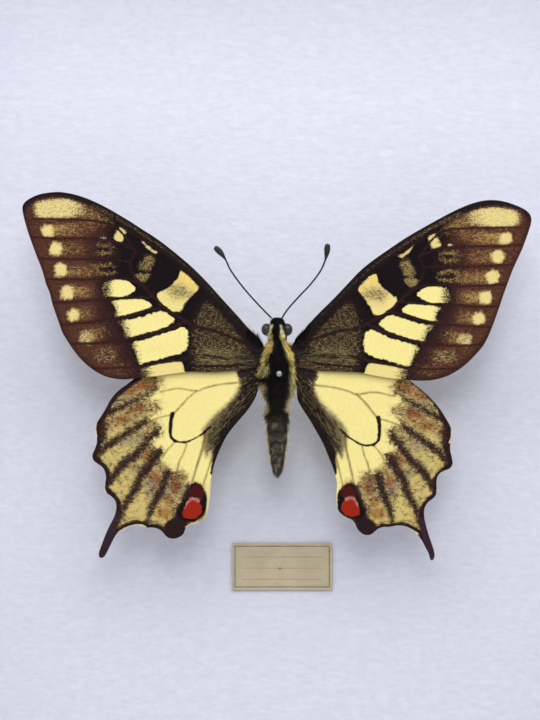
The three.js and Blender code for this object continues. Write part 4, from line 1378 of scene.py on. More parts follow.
@dataclass
class FurTree:
    """Geometry Nodes tree that grows combed hairs on a skin.

    The skin's attributes say where hair stands (fur_cover), which way it lies (fur_comb), how long it
    is (fur_length) and its colour (tint).
    """

    name: str = "combed_fur"
    shortest: float = 0.55
    longest: float = 1.2
    shade_seed: int = 77

    def build(self) -> bpy.types.GeometryNodeTree:
        """Make the tree, which every coat of hair shares.

        Returns:
            The tree.
        """
        group = bpy.data.node_groups.new(self.name, "GeometryNodeTree")
        for name, kind in (("Geometry", "Geometry"), ("Hair", "Object"), ("Density", "Float"),
                           ("Jitter", "Float"), ("Seed", "Int"), ("Finish", "Material")):
            group.interface.new_socket(name, in_out="INPUT", socket_type="NodeSocket" + kind)
        group.interface.new_socket("Geometry", in_out="OUTPUT", socket_type="NodeSocketGeometry")
        tree = Tree(group)
        source = tree.node("NodeGroupInput").outputs
        target = tree.node("NodeGroupOutput").inputs
        density = tree.sum("MULTIPLY", self._attribute(tree, "fur_cover"), source["Density"])
        scatter = tree.node("GeometryNodeDistributePointsOnFaces",
                            {"Mesh": source["Geometry"], "Density": density, "Seed": source["Seed"]})
        inputs = {"Min": (-1, -1, -1), "Max": (1, 1, 1), "Seed": source["Seed"]}
        ruffle = tree.node("FunctionNodeRandomValue", inputs, data_type="FLOAT_VECTOR").outputs["Value"]
        combed = self._attribute(tree, "fur_comb", "FLOAT_VECTOR")
        leaning = tree.node("ShaderNodeVectorMath", {0: combed, 1: tree.scale(ruffle, source["Jitter"])},
                            operation="ADD")
        turn = tree.node("FunctionNodeAlignRotationToVector", {"Vector": leaning.outputs["Vector"]},
                         axis="Z")
        growth = self._draw(tree, self.shortest, self.longest, source["Seed"])
        length = tree.sum("MULTIPLY", self._attribute(tree, "fur_length"), growth)
        keep = tree.node("GeometryNodeStoreNamedAttribute",
                         {"Geometry": scatter.outputs["Points"], "Name": "shade"},
                         data_type="FLOAT", domain="POINT")
        value = next(socket for socket in keep.inputs if socket.type == "VALUE")
        tree.feed(value, self._draw(tree, 0, 1, self.shade_seed))
        blade = tree.node("GeometryNodeObjectInfo", {"Object": source["Hair"]})
        plant = tree.node("GeometryNodeInstanceOnPoints",
                          {"Points": keep.outputs["Geometry"], "Instance": blade.outputs["Geometry"],
                           "Rotation": turn.outputs["Rotation"], "Scale": length})
        realize = tree.node("GeometryNodeRealizeInstances", {"Geometry": plant.outputs["Instances"]})
        finish = tree.node("GeometryNodeSetMaterial",
                           {"Geometry": realize.outputs["Geometry"], "Material": source["Finish"]})
        tree.feed(target["Geometry"], finish.outputs["Geometry"])
        return group

    @staticmethod
    def _attribute(tree: Tree, name: str, kind: str = "FLOAT") -> Socket:
        """Read one of the skin's attributes."""
        read = tree.node("GeometryNodeInputNamedAttribute", {"Name": name}, data_type=kind)
        return read.outputs["Attribute"]

    @staticmethod
    def _draw(tree: Tree, low: float, high: float, seed: object) -> Socket:
        """Draw a random number for each hair.

        Args:
            tree: the tree that the node is added to.
            low: the least number.
            high: the greatest number.
            seed: a value or socket that fixes the draw.

        Returns:
            The number's socket.
        """
        draw = tree.node("FunctionNodeRandomValue", {"Seed": seed}, data_type="FLOAT")
        ends = [socket for socket in draw.inputs if socket.type == "VALUE"]
        for socket, value in zip(ends, (low, high)):
            tree.feed(socket, value)
        return next(socket for socket in draw.outputs if socket.type == "VALUE")


@dataclass
class FurCoat:
    """Hair on a skin, as one joined mesh."""

    tree: bpy.types.GeometryNodeTree
    material: Material
    bend: float = 0.22
    taper: float = 0.55
    blade_rings: int = 3
    blade_sides: int = 3

    def blade(self, slimness: float) -> Piece:
        """Make one closed, tapered and slightly bent hair, a metre long, as the pattern of all.

        Args:
            slimness: its radius at the foot, in metres.

        Returns:
            The hair.
        """
        rings, sides = self.blade_rings, self.blade_sides
        vertices = []
        for ring in range(rings):
            height = ring / rings
            radius = slimness * (1 - self.taper * height)
            lean = self.bend * height * height
            for side in range(sides):
                turn = 2 * math.pi * side / sides
                vertices.append((lean + radius * math.cos(turn), radius * math.sin(turn), height))
        vertices.append((self.bend, 0, 1))
        tip = len(vertices) - 1
        faces = [list(range(sides))[::-1]]
        for ring in range(rings - 1):
            for side in range(sides):
                a, b = ring * sides + side, ring * sides + (side + 1) % sides
                faces.append([a, b, b + sides, a + sides])
        last = (rings - 1) * sides
        faces.extend([last + side, last + (side + 1) % sides, tip] for side in range(sides))
        return mesh_object("hair_blade", np.array(vertices), faces, None)

    def grow(self, name: str, skin: Piece, hairs: float, jitter: float, seed: int,
             slimness: float = 0.06) -> Piece:
        """Grow hair on a skin.

        Args:
            name: the coat's name.
            skin: the mesh that carries the fur attributes.
            hairs: how many hairs stand on a square millimetre at full cover.
            jitter: how far hairs stray from the way they are combed.
            seed: fixes the random draws.
            slimness: a hair's radius at its foot, as a share of its length.

        Returns:
            The coat, as a plain mesh.
        """
        blade = self.blade(slimness)
        carrier = place_piece(name, skin.data.copy())
        modifier = carrier.modifiers.new("fur", "NODES")
        modifier.node_group = self.tree
        values = {"Hair": blade, "Density": hairs / (COARSE * MM) ** 2, "Jitter": jitter, "Seed": seed,
                  "Finish": self.material}
        for item in self.tree.interface.items_tree:
            if item.in_out == "INPUT" and item.name in values:
                modifier[item.identifier] = values[item.name]
        bpy.context.view_layer.update()
        depsgraph = bpy.context.evaluated_depsgraph_get()
        grown = bpy.data.meshes.new_from_object(carrier.evaluated_get(depsgraph), depsgraph=depsgraph)
        carrier.modifiers.remove(modifier)
        carrier.data = grown
        bpy.data.objects.remove(blade)
        return carrier


@dataclass
class Wing:
    """One wing: a thin scaled membrane on raised veins."""

    name: str
    outline: Points
    pattern: ForewingPattern | HindwingPattern
    landmarks: Landmarks | None
    root: Pair
    set_back: float
    rise: float
    slot: str
    seed: int
    spacing: float = 0.98
    half_thickness: float = 0.045 * MM
    rise_power: float = 1.6
    unevenness: float = 0.06 * MM
    hairs: float = 26
    hair_slimness: float = 0.034
    hair_jitter: float = 0.2
    hair_lift: float = 0.22
    hair_edge: float = 3.0
    dusting: float = 0.0
    dusted_from: float = 185
    dusted_over: float = 40

    @property
    def step(self) -> float:
        """Space between the membrane's points, in pixels."""
        return self.spacing * COARSE

    def _lattice(self, edge: Array) -> Array:
        """Fill the outline with evenly spaced points.

        Args:
            edge: the outline's points.

        Returns:
            The points inside it, clear of its edge.
        """
        low, high = edge.min(0), edge.max(0)
        row_step = self.step * math.sqrt(3) / 2
        rows = np.arange(low[1], high[1], row_step)
        inner = []
        for i, row in enumerate(rows):
            columns = np.arange(low[0] + (i % 2) * self.step / 2, high[0], self.step)
            inner.append(np.column_stack([columns, np.full(len(columns), row)]))
        inner = np.vstack(inner)
        inner = inner[inside_polygon(inner, edge)]
        away, _ = path_distance(inner, np.vstack([edge, edge[:1]]))
        return inner[away > 0.55 * self.step]

    def _triangles(self, edge: Array, inner: Array) -> tuple[Array, Array]:
        """Join points into triangles that face the viewer.

        Args:
            edge: the outline's points.
            inner: the points inside it.

        Returns:
            All points, and the triangles as numbers of points.
        """
        flipped = np.vstack([edge, inner]) * (1, -1)
        loop = list(range(len(edge)))
        area = np.cross(edge * (1, -1), np.roll(edge * (1, -1), -1, axis=0)).sum()
        if area < 0:
            loop.reverse()
        places, _, faces, *_ = delaunay_2d_cdt([Vector(p) for p in flipped], [], [loop], 1, 1e-7)
        points = np.array([tuple(p) for p in places]) * (1, -1)
        return points, np.array([tuple(f) for f in faces])

    def _relief(self, points: Array) -> Array:
        """Give how far the veins and the membrane's unevenness stand out.

        Args:
            points: the front's points in the left wing's pixels.

        Returns:
            The height of each point towards the viewer, in metres.
        """
        height = self.unevenness * wobble(points, 17, self.seed)
        for vein in self.pattern.veins:
            away, along = path_distance(points, rounded(vein.path, 4, closed=False))
            width = vein.widths[0] + (vein.widths[1] - vein.widths[0]) * along
            height = height + vein.ridge * np.exp(-((away / (0.55 * width)) ** 2))
        return height

    def build(self, material: Material, coat: FurCoat) -> Piece:
        """Build the wing.

        Args:
            material: the scaled finish.
            coat: the hair that grows near the wing's base.

        Returns:
            The wing's object.
        """
        edge = evenly(rounded(self.outline, 6), self.step)
        points, faces = self._triangles(edge, self._lattice(edge))
        own = self.landmarks.to_left(points) if self.landmarks else points
        x, z = PLANE.across(points[:, 0]), PLANE.up(points[:, 1])
        lift = self.rise * (np.abs(x) / (PLANE.wingspan / 2)) ** self.rise_power
        middle = PLANE.depth + self.set_back - lift
        front = middle - self.half_thickness - np.maximum(self._relief(own), -self.half_thickness)
        back = middle + self.half_thickness
        count = len(points)
        vertices = np.vstack([np.column_stack([x, front, z]), np.column_stack([x, back, z])])
        piece = mesh_object(self.name + "_membrane", vertices, sheet_faces(faces, count), 70)
        painter = ScalePainter(own, Tint.INK, seed=self.seed)
        self.pattern.paint(painter)
        outer_half = smooth((self.dusted_from - own[:, 0]) / self.dusted_over)
        painter.cover += self.dusting * 4 * painter.cover * (1 - painter.cover) * outer_half
        for name, values in (("ground", as_colour(painter.ground)), ("scales", as_colour(painter.scales)),
                             ("cover", painter.cover)):
            set_attribute(piece.data, name, np.concatenate([values, values]))
        self._flow_map(piece.data, points)
        settle(piece, material, self.slot, self.name)
        self._grow_hair(coat, own, vertices[:count], faces)
        return piece

    def _grow_hair(self, coat: FurCoat, own: Array, front: Array, faces: Array) -> None:
        """Grow the pattern's hair patches on the wing's front.

        Args:
            coat: the hair to grow.
            own: the front's points in the left wing's pixels.
            front: the front's vertices.
            faces: the front's triangles.
        """
        side = 1 if self.landmarks is None else -1
        for number, patch in enumerate(self.pattern.hair):
            painter = ScalePainter(own, Tint.INK, seed=self.seed)
            cover = painter.patch(patch.outline, self.hair_edge) * patch.cover
            used = faces[cover[faces].max(axis=1) > 0.02]
            kept, local = np.unique(used, return_inverse=True)
            name = f"{self.name}_hair_{number + 1}"
            skin = mesh_object(name + "_base", front[kept], local.reshape(used.shape).tolist(), None)
            lie = np.array([side * patch.lie[0], -self.hair_lift, -patch.lie[1]])
            size = len(kept)
            set_attribute(skin.data, "tint", as_colour(np.tile(linear(patch.tint), (size, 1))))
            set_attribute(skin.data, "fur_comb", np.tile(lie, (size, 1)))
            set_attribute(skin.data, "fur_cover", cover[kept])
            ruffled = 1 + 0.3 * wobble(own[kept], 5, self.seed + number)
            set_attribute(skin.data, "fur_length", patch.length * ruffled)
            hair = coat.grow(name, skin, self.hairs, self.hair_jitter, self.seed + number,
                             self.hair_slimness)
            bpy.data.objects.remove(skin)
            settle(hair, coat.material, "body_fur")

    def _flow_map(self, mesh: bpy.types.Mesh, points: Array) -> None:
        """Lay a map in metres that runs out from the wing's root, and across that.

        Args:
            mesh: the membrane.
            points: the front's points, in pixels.
        """
        offset = (points - self.root) * PLANE.pixel
        reach = np.linalg.norm(offset, axis=1)
        angle = np.arctan2(offset[:, 1], np.abs(offset[:, 0]))
        flow = np.column_stack([reach, angle * np.maximum(reach, 4 * MM)])
        both = np.vstack([flow, flow + 0.2])
        loops = np.empty(len(mesh.loops), np.int32)
        mesh.loops.foreach_get("vertex_index", loops)
        layer = mesh.uv_layers.new(name="flow")
        layer.data.foreach_set("uv", both[loops].astype(np.float32).ravel())


@dataclass(frozen=True)
class Station:
    """An oval section of the body: its row in the photograph, half width and depth, and set back."""

    row: float
    half_width: float
    half_depth: float
    back: float


@dataclass
class BodyPart:
    """A part of the body: a hairy skin through oval stations, and its coat."""

    name: str
    stations: tuple[Station, ...]
    hairs: float
    hair_length: float
    lift: float
    seed: int
    spread: float = 0.2
    slimness: float = 0.05
    jitter: float = 0.3
    hind_length: float = 1.0
    segments: int = 0
    sides: int = 56
    rings: int = 60

    def skin(self) -> Piece:
        """Build the closed skin.

        Returns:
            The skin.
        """
        rows = np.array([station.row for station in self.stations])
        knots = np.array([[s.half_width, s.half_depth, s.back] for s in self.stations]) * MM
        share = 0.5 - 0.5 * np.cos(np.linspace(0.06, math.pi - 0.06, self.rings))
        heights = rows[0] + share * (rows[-1] - rows[0])
        smooth_rows = rounded([(row, *knot) for row, knot in zip(rows, knots)], 8, closed=False)
        width, depth, back = (np.interp(heights, smooth_rows[:, 0], smooth_rows[:, i]) for i in (1, 2, 3))
        if self.segments:
            groove = np.abs(np.sin(math.pi * self.segments * (heights - rows[0]) / (rows[-1] - rows[0])))
            width, depth = (values * (0.94 + 0.06 * groove**0.5) for values in (width, depth))
        turns = np.linspace(0, 2 * math.pi, self.sides, endpoint=False)
        x = width[:, None] * np.cos(turns)
        y = PLANE.depth + back[:, None] - depth[:, None] * np.sin(turns)
        z = np.repeat(PLANE.up(heights)[:, None], self.sides, axis=1)
        vertices = np.column_stack([x.ravel(), y.ravel(), z.ravel()])
        ends = [[0, PLANE.depth + back[i], PLANE.up(rows[i])] for i in (0, -1)]
        vertices = np.vstack([vertices, ends])
        return mesh_object(self.name + "_skin", vertices, ring_faces(self.rings, self.sides), 80)

    def prepare(self, piece: Piece, markings: "BodyMarkings") -> None:
        """Give the skin its colours and the way its hair grows.

        Args:
            piece: the skin.
            markings: the body's colours.
        """
        mesh = piece.data
        mesh.update()
        count = len(mesh.vertices)
        places, normals = np.empty(count * 3), np.empty(count * 3)
        mesh.vertices.foreach_get("co", places)
        mesh.vertices.foreach_get("normal", normals)
        places, normals = places.reshape(-1, 3), normals.reshape(-1, 3)
        pixels = np.column_stack([PLANE.column(places[:, 0]), PLANE.row(places[:, 2])])
        set_attribute(mesh, "tint", as_colour(markings.colours(pixels, np.abs(normals[:, 0]), self.seed)))
        back = np.array([0, 0, -1.0])
        sideways = np.column_stack([places[:, 0] / (1.5 * MM), np.zeros(count), np.zeros(count)])
        comb = normals * self.lift + back * (1 - self.lift) + self.spread * sideways
        set_attribute(mesh, "fur_comb", comb)
        set_attribute(mesh, "fur_cover", np.ones(count))
        rows = [station.row for station in self.stations]
        down = np.clip((pixels[:, 1] - rows[0]) / (0.6 * (rows[-1] - rows[0])), 0, 1)
        ruffled = 1 + 0.35 * wobble(pixels, 6, self.seed + 7)
        thinned = 1 + (self.hind_length - 1) * down
        set_attribute(mesh, "fur_length", self.hair_length * ruffled * thinned)


@dataclass(frozen=True)
class BodyMarkings:
    """Colours of the body's hair: a black back between yellow bands, with painted shade in the abdomen's
    segment grooves, in photograph pixels.
    """

    yellow_bands: tuple[Vein, ...] = (
        Vein([(270, 336), (270, 345), (266.5, 353), (262.5, 362), (259.5, 372)], (4.6, 7.4)),
        Vein([(282.5, 336), (285.5, 346), (289, 354), (292, 364), (294, 375)], (4.6, 6.4)))
    pale_bands: tuple[Vein, ...] = (
        Vein([(268, 364), (267, 371)], (2, 3)),
        Vein([(264, 384), (265, 394), (266.5, 410)], (5.0, 4.2)),
        Vein([(290.5, 368), (291, 380), (289.5, 392), (287, 408)], (3.6, 4.8)))
    orange_spots: tuple[Pair, ...] = ((270.5, 342), (269, 347), (284, 343))
    face_marks: tuple[Vein, ...] = (
        Vein([(271.5, 325.5), (270, 331), (268.5, 336)], (2.5, 3.5)),
        Vein([(280.5, 325.5), (282, 331), (283.5, 336)], (2.5, 3.5)))
    grey_from_row: float = 412
    groove_shade_rows: tuple[float, ...] = (421, 432, 443, 454, 464)

    def colours(self, pixels: Array, sideways: Array, seed: int) -> Array:
        """Give the hair's colour at photograph places.

        Args:
            pixels: N x 2 columns and rows.
            sideways: how far the skin faces to either side, from 0 to 1.
            seed: fixes the mottling.

        Returns:
            N x 3 linear colours.
        """
        painter = ScalePainter(pixels, Tint.FUR_BLACK, 1.4, seed)
        low = smooth((pixels[:, 1] - self.grey_from_row) / 20)
        painter.tone(0.5 * smooth((pixels[:, 1] - 372) / 20), Tint.FUR_BROWN)
        painter.tone(low * (0.6 + 0.4 * wobble(pixels, 2.4, seed)), Tint.FUR_GREY)
        painter.tone(0.3 * low * np.clip(wobble(pixels, 3.1, seed + 3), 0, 1), Tint.FUR_PALE)
        # Painted shade: dark brown and black bands along each segment groove, bowed round the sides, stand
        # in for the shade in the creases between segments.
        for row in self.groove_shade_rows:
            bowed = row + 1.2 * wobble(pixels, 9, seed) - 2.5 * sideways**2
            painter.tone(0.45 * np.exp(-((pixels[:, 1] - bowed + 2.2) / 1.3) ** 2), Tint.FUR_BROWN)
            painter.tone(0.7 * np.exp(-((pixels[:, 1] - bowed) / 1.1) ** 2), Tint.FUR_BLACK)
        painter.tone(low * smooth((sideways - 0.9) / 0.07), Tint.FUR_CREAM)
        for band in self.pale_bands:
            painter.tone(0.95 * painter.stroke(band.path, band.widths, 1.8), Tint.FUR_PALE)
        for band in self.yellow_bands:
            painter.tone(painter.stroke(band.path, band.widths, 1.3), Tint.FUR_YELLOW)
        for centre in self.orange_spots:
            painter.tone(0.32 * painter.spot(centre, (2.0, 2.6), 1.6), Tint.FUR_ORANGE)
        for mark in self.face_marks:
            painter.tone(painter.stroke(mark.path, mark.widths, 1.0), Tint.FUR_CREAM)
        return painter.ground


def tube(path: Array, radii: Array, sides: int) -> tuple[Array, list]:
    """Sweep a round section along a path and close its ends.

    Args:
        path: N x 3 points.
        radii: N radii.
        sides: how many sides the section has.

    Returns:
        The vertices and the faces.
    """
    tangents = np.gradient(path, axis=0)
    tangents /= np.linalg.norm(tangents, axis=1)[:, None]
    side = np.cross(tangents, [0, 1, 0])
    side /= np.linalg.norm(side, axis=1)[:, None]
    other = np.cross(tangents, side)
    turns = np.linspace(0, 2 * math.pi, sides, endpoint=False)
    rings = (path[:, None] + radii[:, None, None] * (np.cos(turns)[:, None] * side[:, None]
                                                    + np.sin(turns)[:, None] * other[:, None]))
    start = path[0] - tangents[0] * radii[0] * 0.6
    end = path[-1] + tangents[-1] * radii[-1] * 0.6
    return np.vstack([rings.reshape(-1, 3), start, end]), ring_faces(len(path), sides)


@dataclass
class Antenna:
    """A ringed antenna with a club at its end."""

    name: str
    path: Points
    first_depth: float = 0.1 * MM
    last_depth: float = -1.4 * MM
    shaft: float = 0.13 * MM
    club: float = 0.46 * MM
    club_share: float = 0.2
    rings: int = 30
    steps_per_ring: int = 6

    def build(self, material: Material) -> Piece:
        """Build the antenna.

        Args:
            material: its finish.

        Returns:
            The antenna.
        """
        curve = rounded(self.path, 24, closed=False)
        run = run_along(curve)
        share = np.linspace(0, 1, self.rings * self.steps_per_ring)
        columns, rows = (np.interp(share * run[-1], run, curve[:, i]) for i in (0, 1))
        depth = PLANE.depth + self.first_depth + (self.last_depth - self.first_depth) * share
        path = np.column_stack([PLANE.across(columns), depth, PLANE.up(rows)])
        swell = np.clip((share - (1 - self.club_share)) / self.club_share, 0, 1)
        bulge = smooth(swell * 1.5) * np.sqrt(np.clip(1 - np.clip((swell - 0.72) / 0.3, 0, 1) ** 2, 0.05, 1))
        grooves = 1 - 0.1 * np.abs(np.cos(math.pi * share * self.rings)) ** 6
        radii = (self.shaft + (self.club - self.shaft) * bulge) * grooves
        radii[-1] *= 0.45
        vertices, faces = tube(path, radii, 14)
        piece = mesh_object(self.name + "_ringed", vertices, faces, 80)
        settle(piece, material, "antenna_cuticle", self.name)
        return piece


@dataclass
class Head:
    """The two compound eyes, set beside the hairy head."""

    radius: float = 0.85 * MM
    flatten: float = 0.92
    stretch: float = 1.08

    def build(self, material: Material) -> None:
        """Build both eyes.

        Args:
            material: their finish.
        """
        for name in ("eye_left", "eye_right"):
            low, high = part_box(name)
            centre = (low + high) / 2
            shell = bmesh.new()
            bmesh.ops.create_uvsphere(shell, u_segments=48, v_segments=32, radius=self.radius)
            for vertex in shell.verts:
                vertex.co = centre + Vector((vertex.co.x * self.flatten, vertex.co.y * self.flatten,
                                             vertex.co.z * self.stretch))
            mesh = bpy.data.meshes.new(name)
            shell.to_mesh(mesh)
            shell.free()
            shade_smooth(mesh)
            settle(place_piece(name + "_ball", mesh), material, "eye_cuticle", name)


@dataclass
class Pin:
    """The insect pin: a slim polished wire with a small round head."""

    radius: float = 0.23 * MM
    head_radius: float = 0.42 * MM
    head_length: float = 0.5 * MM
    tip_length: float = 1.2 * MM
    segments: int = 40

    def build(self, material: Material) -> Piece:
        """Build the pin along Y, in its CAD node's place.

        Args:
            material: its finish.

        Returns:
            The pin.
        """
        low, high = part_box("insect_pin")
        x, z = (low.x + high.x) / 2, (low.z + high.z) / 2
        bend = np.linspace(0.06, math.pi * 0.86, 12)
        half = self.head_length / 2
        ball = [(self.head_radius * math.sin(t), low.y + half * (1 - math.cos(t))) for t in bend]
        profile = [*ball, (self.radius, low.y + self.head_length), (self.radius, high.y - self.tip_length),
                   (self.radius * 0.1, high.y)]
        path = np.array([(x, y, z) for _, y in profile])
        turns = np.linspace(0, 2 * math.pi, self.segments, endpoint=False)
        rings = [np.column_stack([x + r * np.cos(turns), np.full(self.segments, y), z + r * np.sin(turns)])
                 for r, y in profile]
        vertices = np.vstack([*rings, [[x, path[0][1] - 0.001 * MM, z], [x, high.y, z]]])
        faces = ring_faces(len(profile), self.segments, flipped=True)
        piece = mesh_object("insect_pin_wire", vertices, faces, 50)
        settle(piece, material, "pin_steel", "insect_pin")
        return piece


@dataclass
class Case:
    """The shadow box: four bevelled mitred rails, and the dressed layers between them."""

    edge_round: float = 0.45 * MM
    outer_round: float = 2.5 * MM
    lip_depth: float = 4 * MM
    moulding: float = 14 * MM
    lip_cover: float = 4 * MM
    slope_width: float = 3.5 * MM
    slope_depth: float = 1.6 * MM
    joint: float = 0.06 * MM

    def _corner(self, corner: Pair, before: Pair, after: Pair,
                radius: float, steps: int) -> Points:
        """Round one corner of the rail's section.

        Args:
            corner: the sharp corner.
            before: the corner before it.
            after: the corner after it.
            radius: how far from the corner the curve starts and ends.
            steps: how many stretches the curve has.

        Returns:
            The curve's points.
        """
        here = Vector(corner)
        start = here + (Vector(before) - here).normalized() * radius
        end = here + (Vector(after) - here).normalized() * radius
        curve = []
        for i in range(steps + 1):
            share = i / steps
            point = start * (1 - share) ** 2 + here * 2 * share * (1 - share) + end * share**2
            curve.append((point.x, point.y))
        return curve

    def _section(self, depth: float) -> Points:
        """Give the rail's section.

        Args:
            depth: how deep the rail is.

        Returns:
            Points: distance in from the outer edge, and back from the front.
        """
        rabbet = self.moulding - self.lip_cover
        corners = [((0, 0), self.outer_round, 8), ((0, depth), self.edge_round, 3),
                   ((rabbet, depth), self.edge_round, 3), ((rabbet, self.lip_depth), 0.1 * MM, 1),
                   ((self.moulding, self.lip_depth), 0.2 * MM, 2),
                   ((self.moulding, self.slope_depth), 0.5 * MM, 3),
                   ((self.moulding - self.slope_width, 0), self.edge_round, 3)]
        section = []
        for i, (corner, radius, steps) in enumerate(corners):
            before, after = corners[i - 1][0], corners[(i + 1) % len(corners)][0]
            section.extend(self._corner(corner, before, after, radius, steps))
        return section

    def _rail(self, node: str, material: Material) -> None:
        """Build one rail in its CAD node's place.

        Args:
            node: the rail's CAD node.
            material: its finish.
        """
        low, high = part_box(node)
        upright = node in ("rail_left", "rail_right")
        section = np.array(self._section(high.y - low.y))
        outer = {"rail_left": low.x, "rail_right": high.x, "rail_bottom": low.z, "rail_top": high.z}[node]
        inward = 1 if node in ("rail_left", "rail_bottom") else -1
        across = outer + inward * section[:, 0]
        start, end = (low.z, high.z) if upright else (low.x, high.x)
        y = low.y + section[:, 1]
        ends = [start + section[:, 0] + self.joint, end - section[:, 0] - self.joint]
        rings = [np.column_stack([across, y, run] if upright else [run, y, across]) for run in ends]
        count = len(section)
        shell = bmesh.new()
        corners = [shell.verts.new(place) for place in np.vstack(rings)]
        for i in range(count):
            after = (i + 1) % count
            shell.faces.new([corners[i], corners[after], corners[after + count], corners[i + count]])
        shell.faces.new(corners[:count])
        shell.faces.new(corners[count:])
        bmesh.ops.triangulate(shell, faces=[face for face in shell.faces if len(face.verts) > 4])
        bmesh.ops.recalc_face_normals(shell, faces=shell.faces)
        mesh = bpy.data.meshes.new(node + "_moulding")
        shell.to_mesh(mesh)
        shell.free()
        shade_smooth(mesh, 30)
        settle(place_piece(node + "_moulding", mesh), material, "frame_wood", node)

    def build(self) -> None:
        """Build the rails and dress the pane, liner, sheet, foam, back and fittings."""
        level = WalnutFinish("walnut_level", Grain.LEVEL).build()
        upright = WalnutFinish("walnut_upright", Grain.UPRIGHT).build()
        for node, material in (("rail_top", level), ("rail_bottom", level), ("rail_left", upright),
                               ("rail_right", upright)):
            self._rail(node, material)
        dress("glass_pane", PaneFinish().build())
        liner = FeltedFinish("liner_card", Tint.LINER, 0.3 * MM, 0.03 * MM).build()
        for side in ("left", "right", "top", "bottom"):
            dress(f"spacer_{side}", liner)
        sheet = FeltedFinish("felted_sheet", Tint.SHEET, 0.8 * MM, 0.15 * MM, 1.9 * MM, 0.09, lie=0.5)
        dress("backing_paper", sheet.build())
        dress("pinning_foam", FeltedFinish("foam", Tint.FOAM, 0.5 * MM, 0.1 * MM).build())
        board = FeltedFinish("hardboard", Tint.HARDBOARD, 0.45 * MM, 0.08 * MM, 12 * MM, 0.3)
        dress("back_board", board.build())
        steel = MetalFinish("spring_steel", Tint.STEEL).build()
        for node in sorted(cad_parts):
            if node.startswith("point_tab_"):
                dress(node, steel)
        brass = MetalFinish("brassed_steel", Tint.BRASS).build()
        for node in ("sawtooth_hanger", "hanger_rivet_left", "hanger_rivet_right"):
            dress(node, brass)


@dataclass
class DataLabel:
    """The data card: a slightly cupped piece of aged card."""

    cup: float = 0.1 * MM
    columns: int = 60
    rows: int = 30
    thickness: float = 0.22 * MM

    def build(self) -> Piece:
        """Build the card in its CAD node's place.

        Returns:
            The card.
        """
        low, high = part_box("data_label")
        x = np.linspace(low.x, high.x, self.columns)
        z = np.linspace(low.z, high.z, self.rows)
        grid_x, grid_z = (part.ravel() for part in np.meshgrid(x, z))
        middle_x, middle_z = (low.x + high.x) / 2, (low.z + high.z) / 2
        bow = ((grid_x - middle_x) / (high.x - middle_x)) ** 2 * self.cup
        curl = ((grid_z - middle_z) / (high.z - middle_z)) ** 2 * self.cup * 0.5
        front = high.y - self.thickness - bow - curl * (1 - bow / self.cup) * 0.5
        vertices = np.vstack([np.column_stack([grid_x, front, grid_z]),
                              np.column_stack([grid_x, front + self.thickness, grid_z])])
        vertices[:, 1] = np.clip(vertices[:, 1], low.y, high.y)
        count = self.columns * self.rows
        corner = np.arange(count).reshape(self.rows, self.columns)[:-1, :-1].ravel()
        across, up = corner + 1, corner + self.columns
        front = np.vstack([np.column_stack([corner, across, up + 1]), np.column_stack([corner, up + 1, up])])
        piece = mesh_object("data_label_card", vertices, sheet_faces(front, count), 40)
        finish = CardFinish((middle_x, middle_z), (high.x - low.x, high.z - low.z))
        settle(piece, finish.build(), "label_card", "data_label")
        return piece


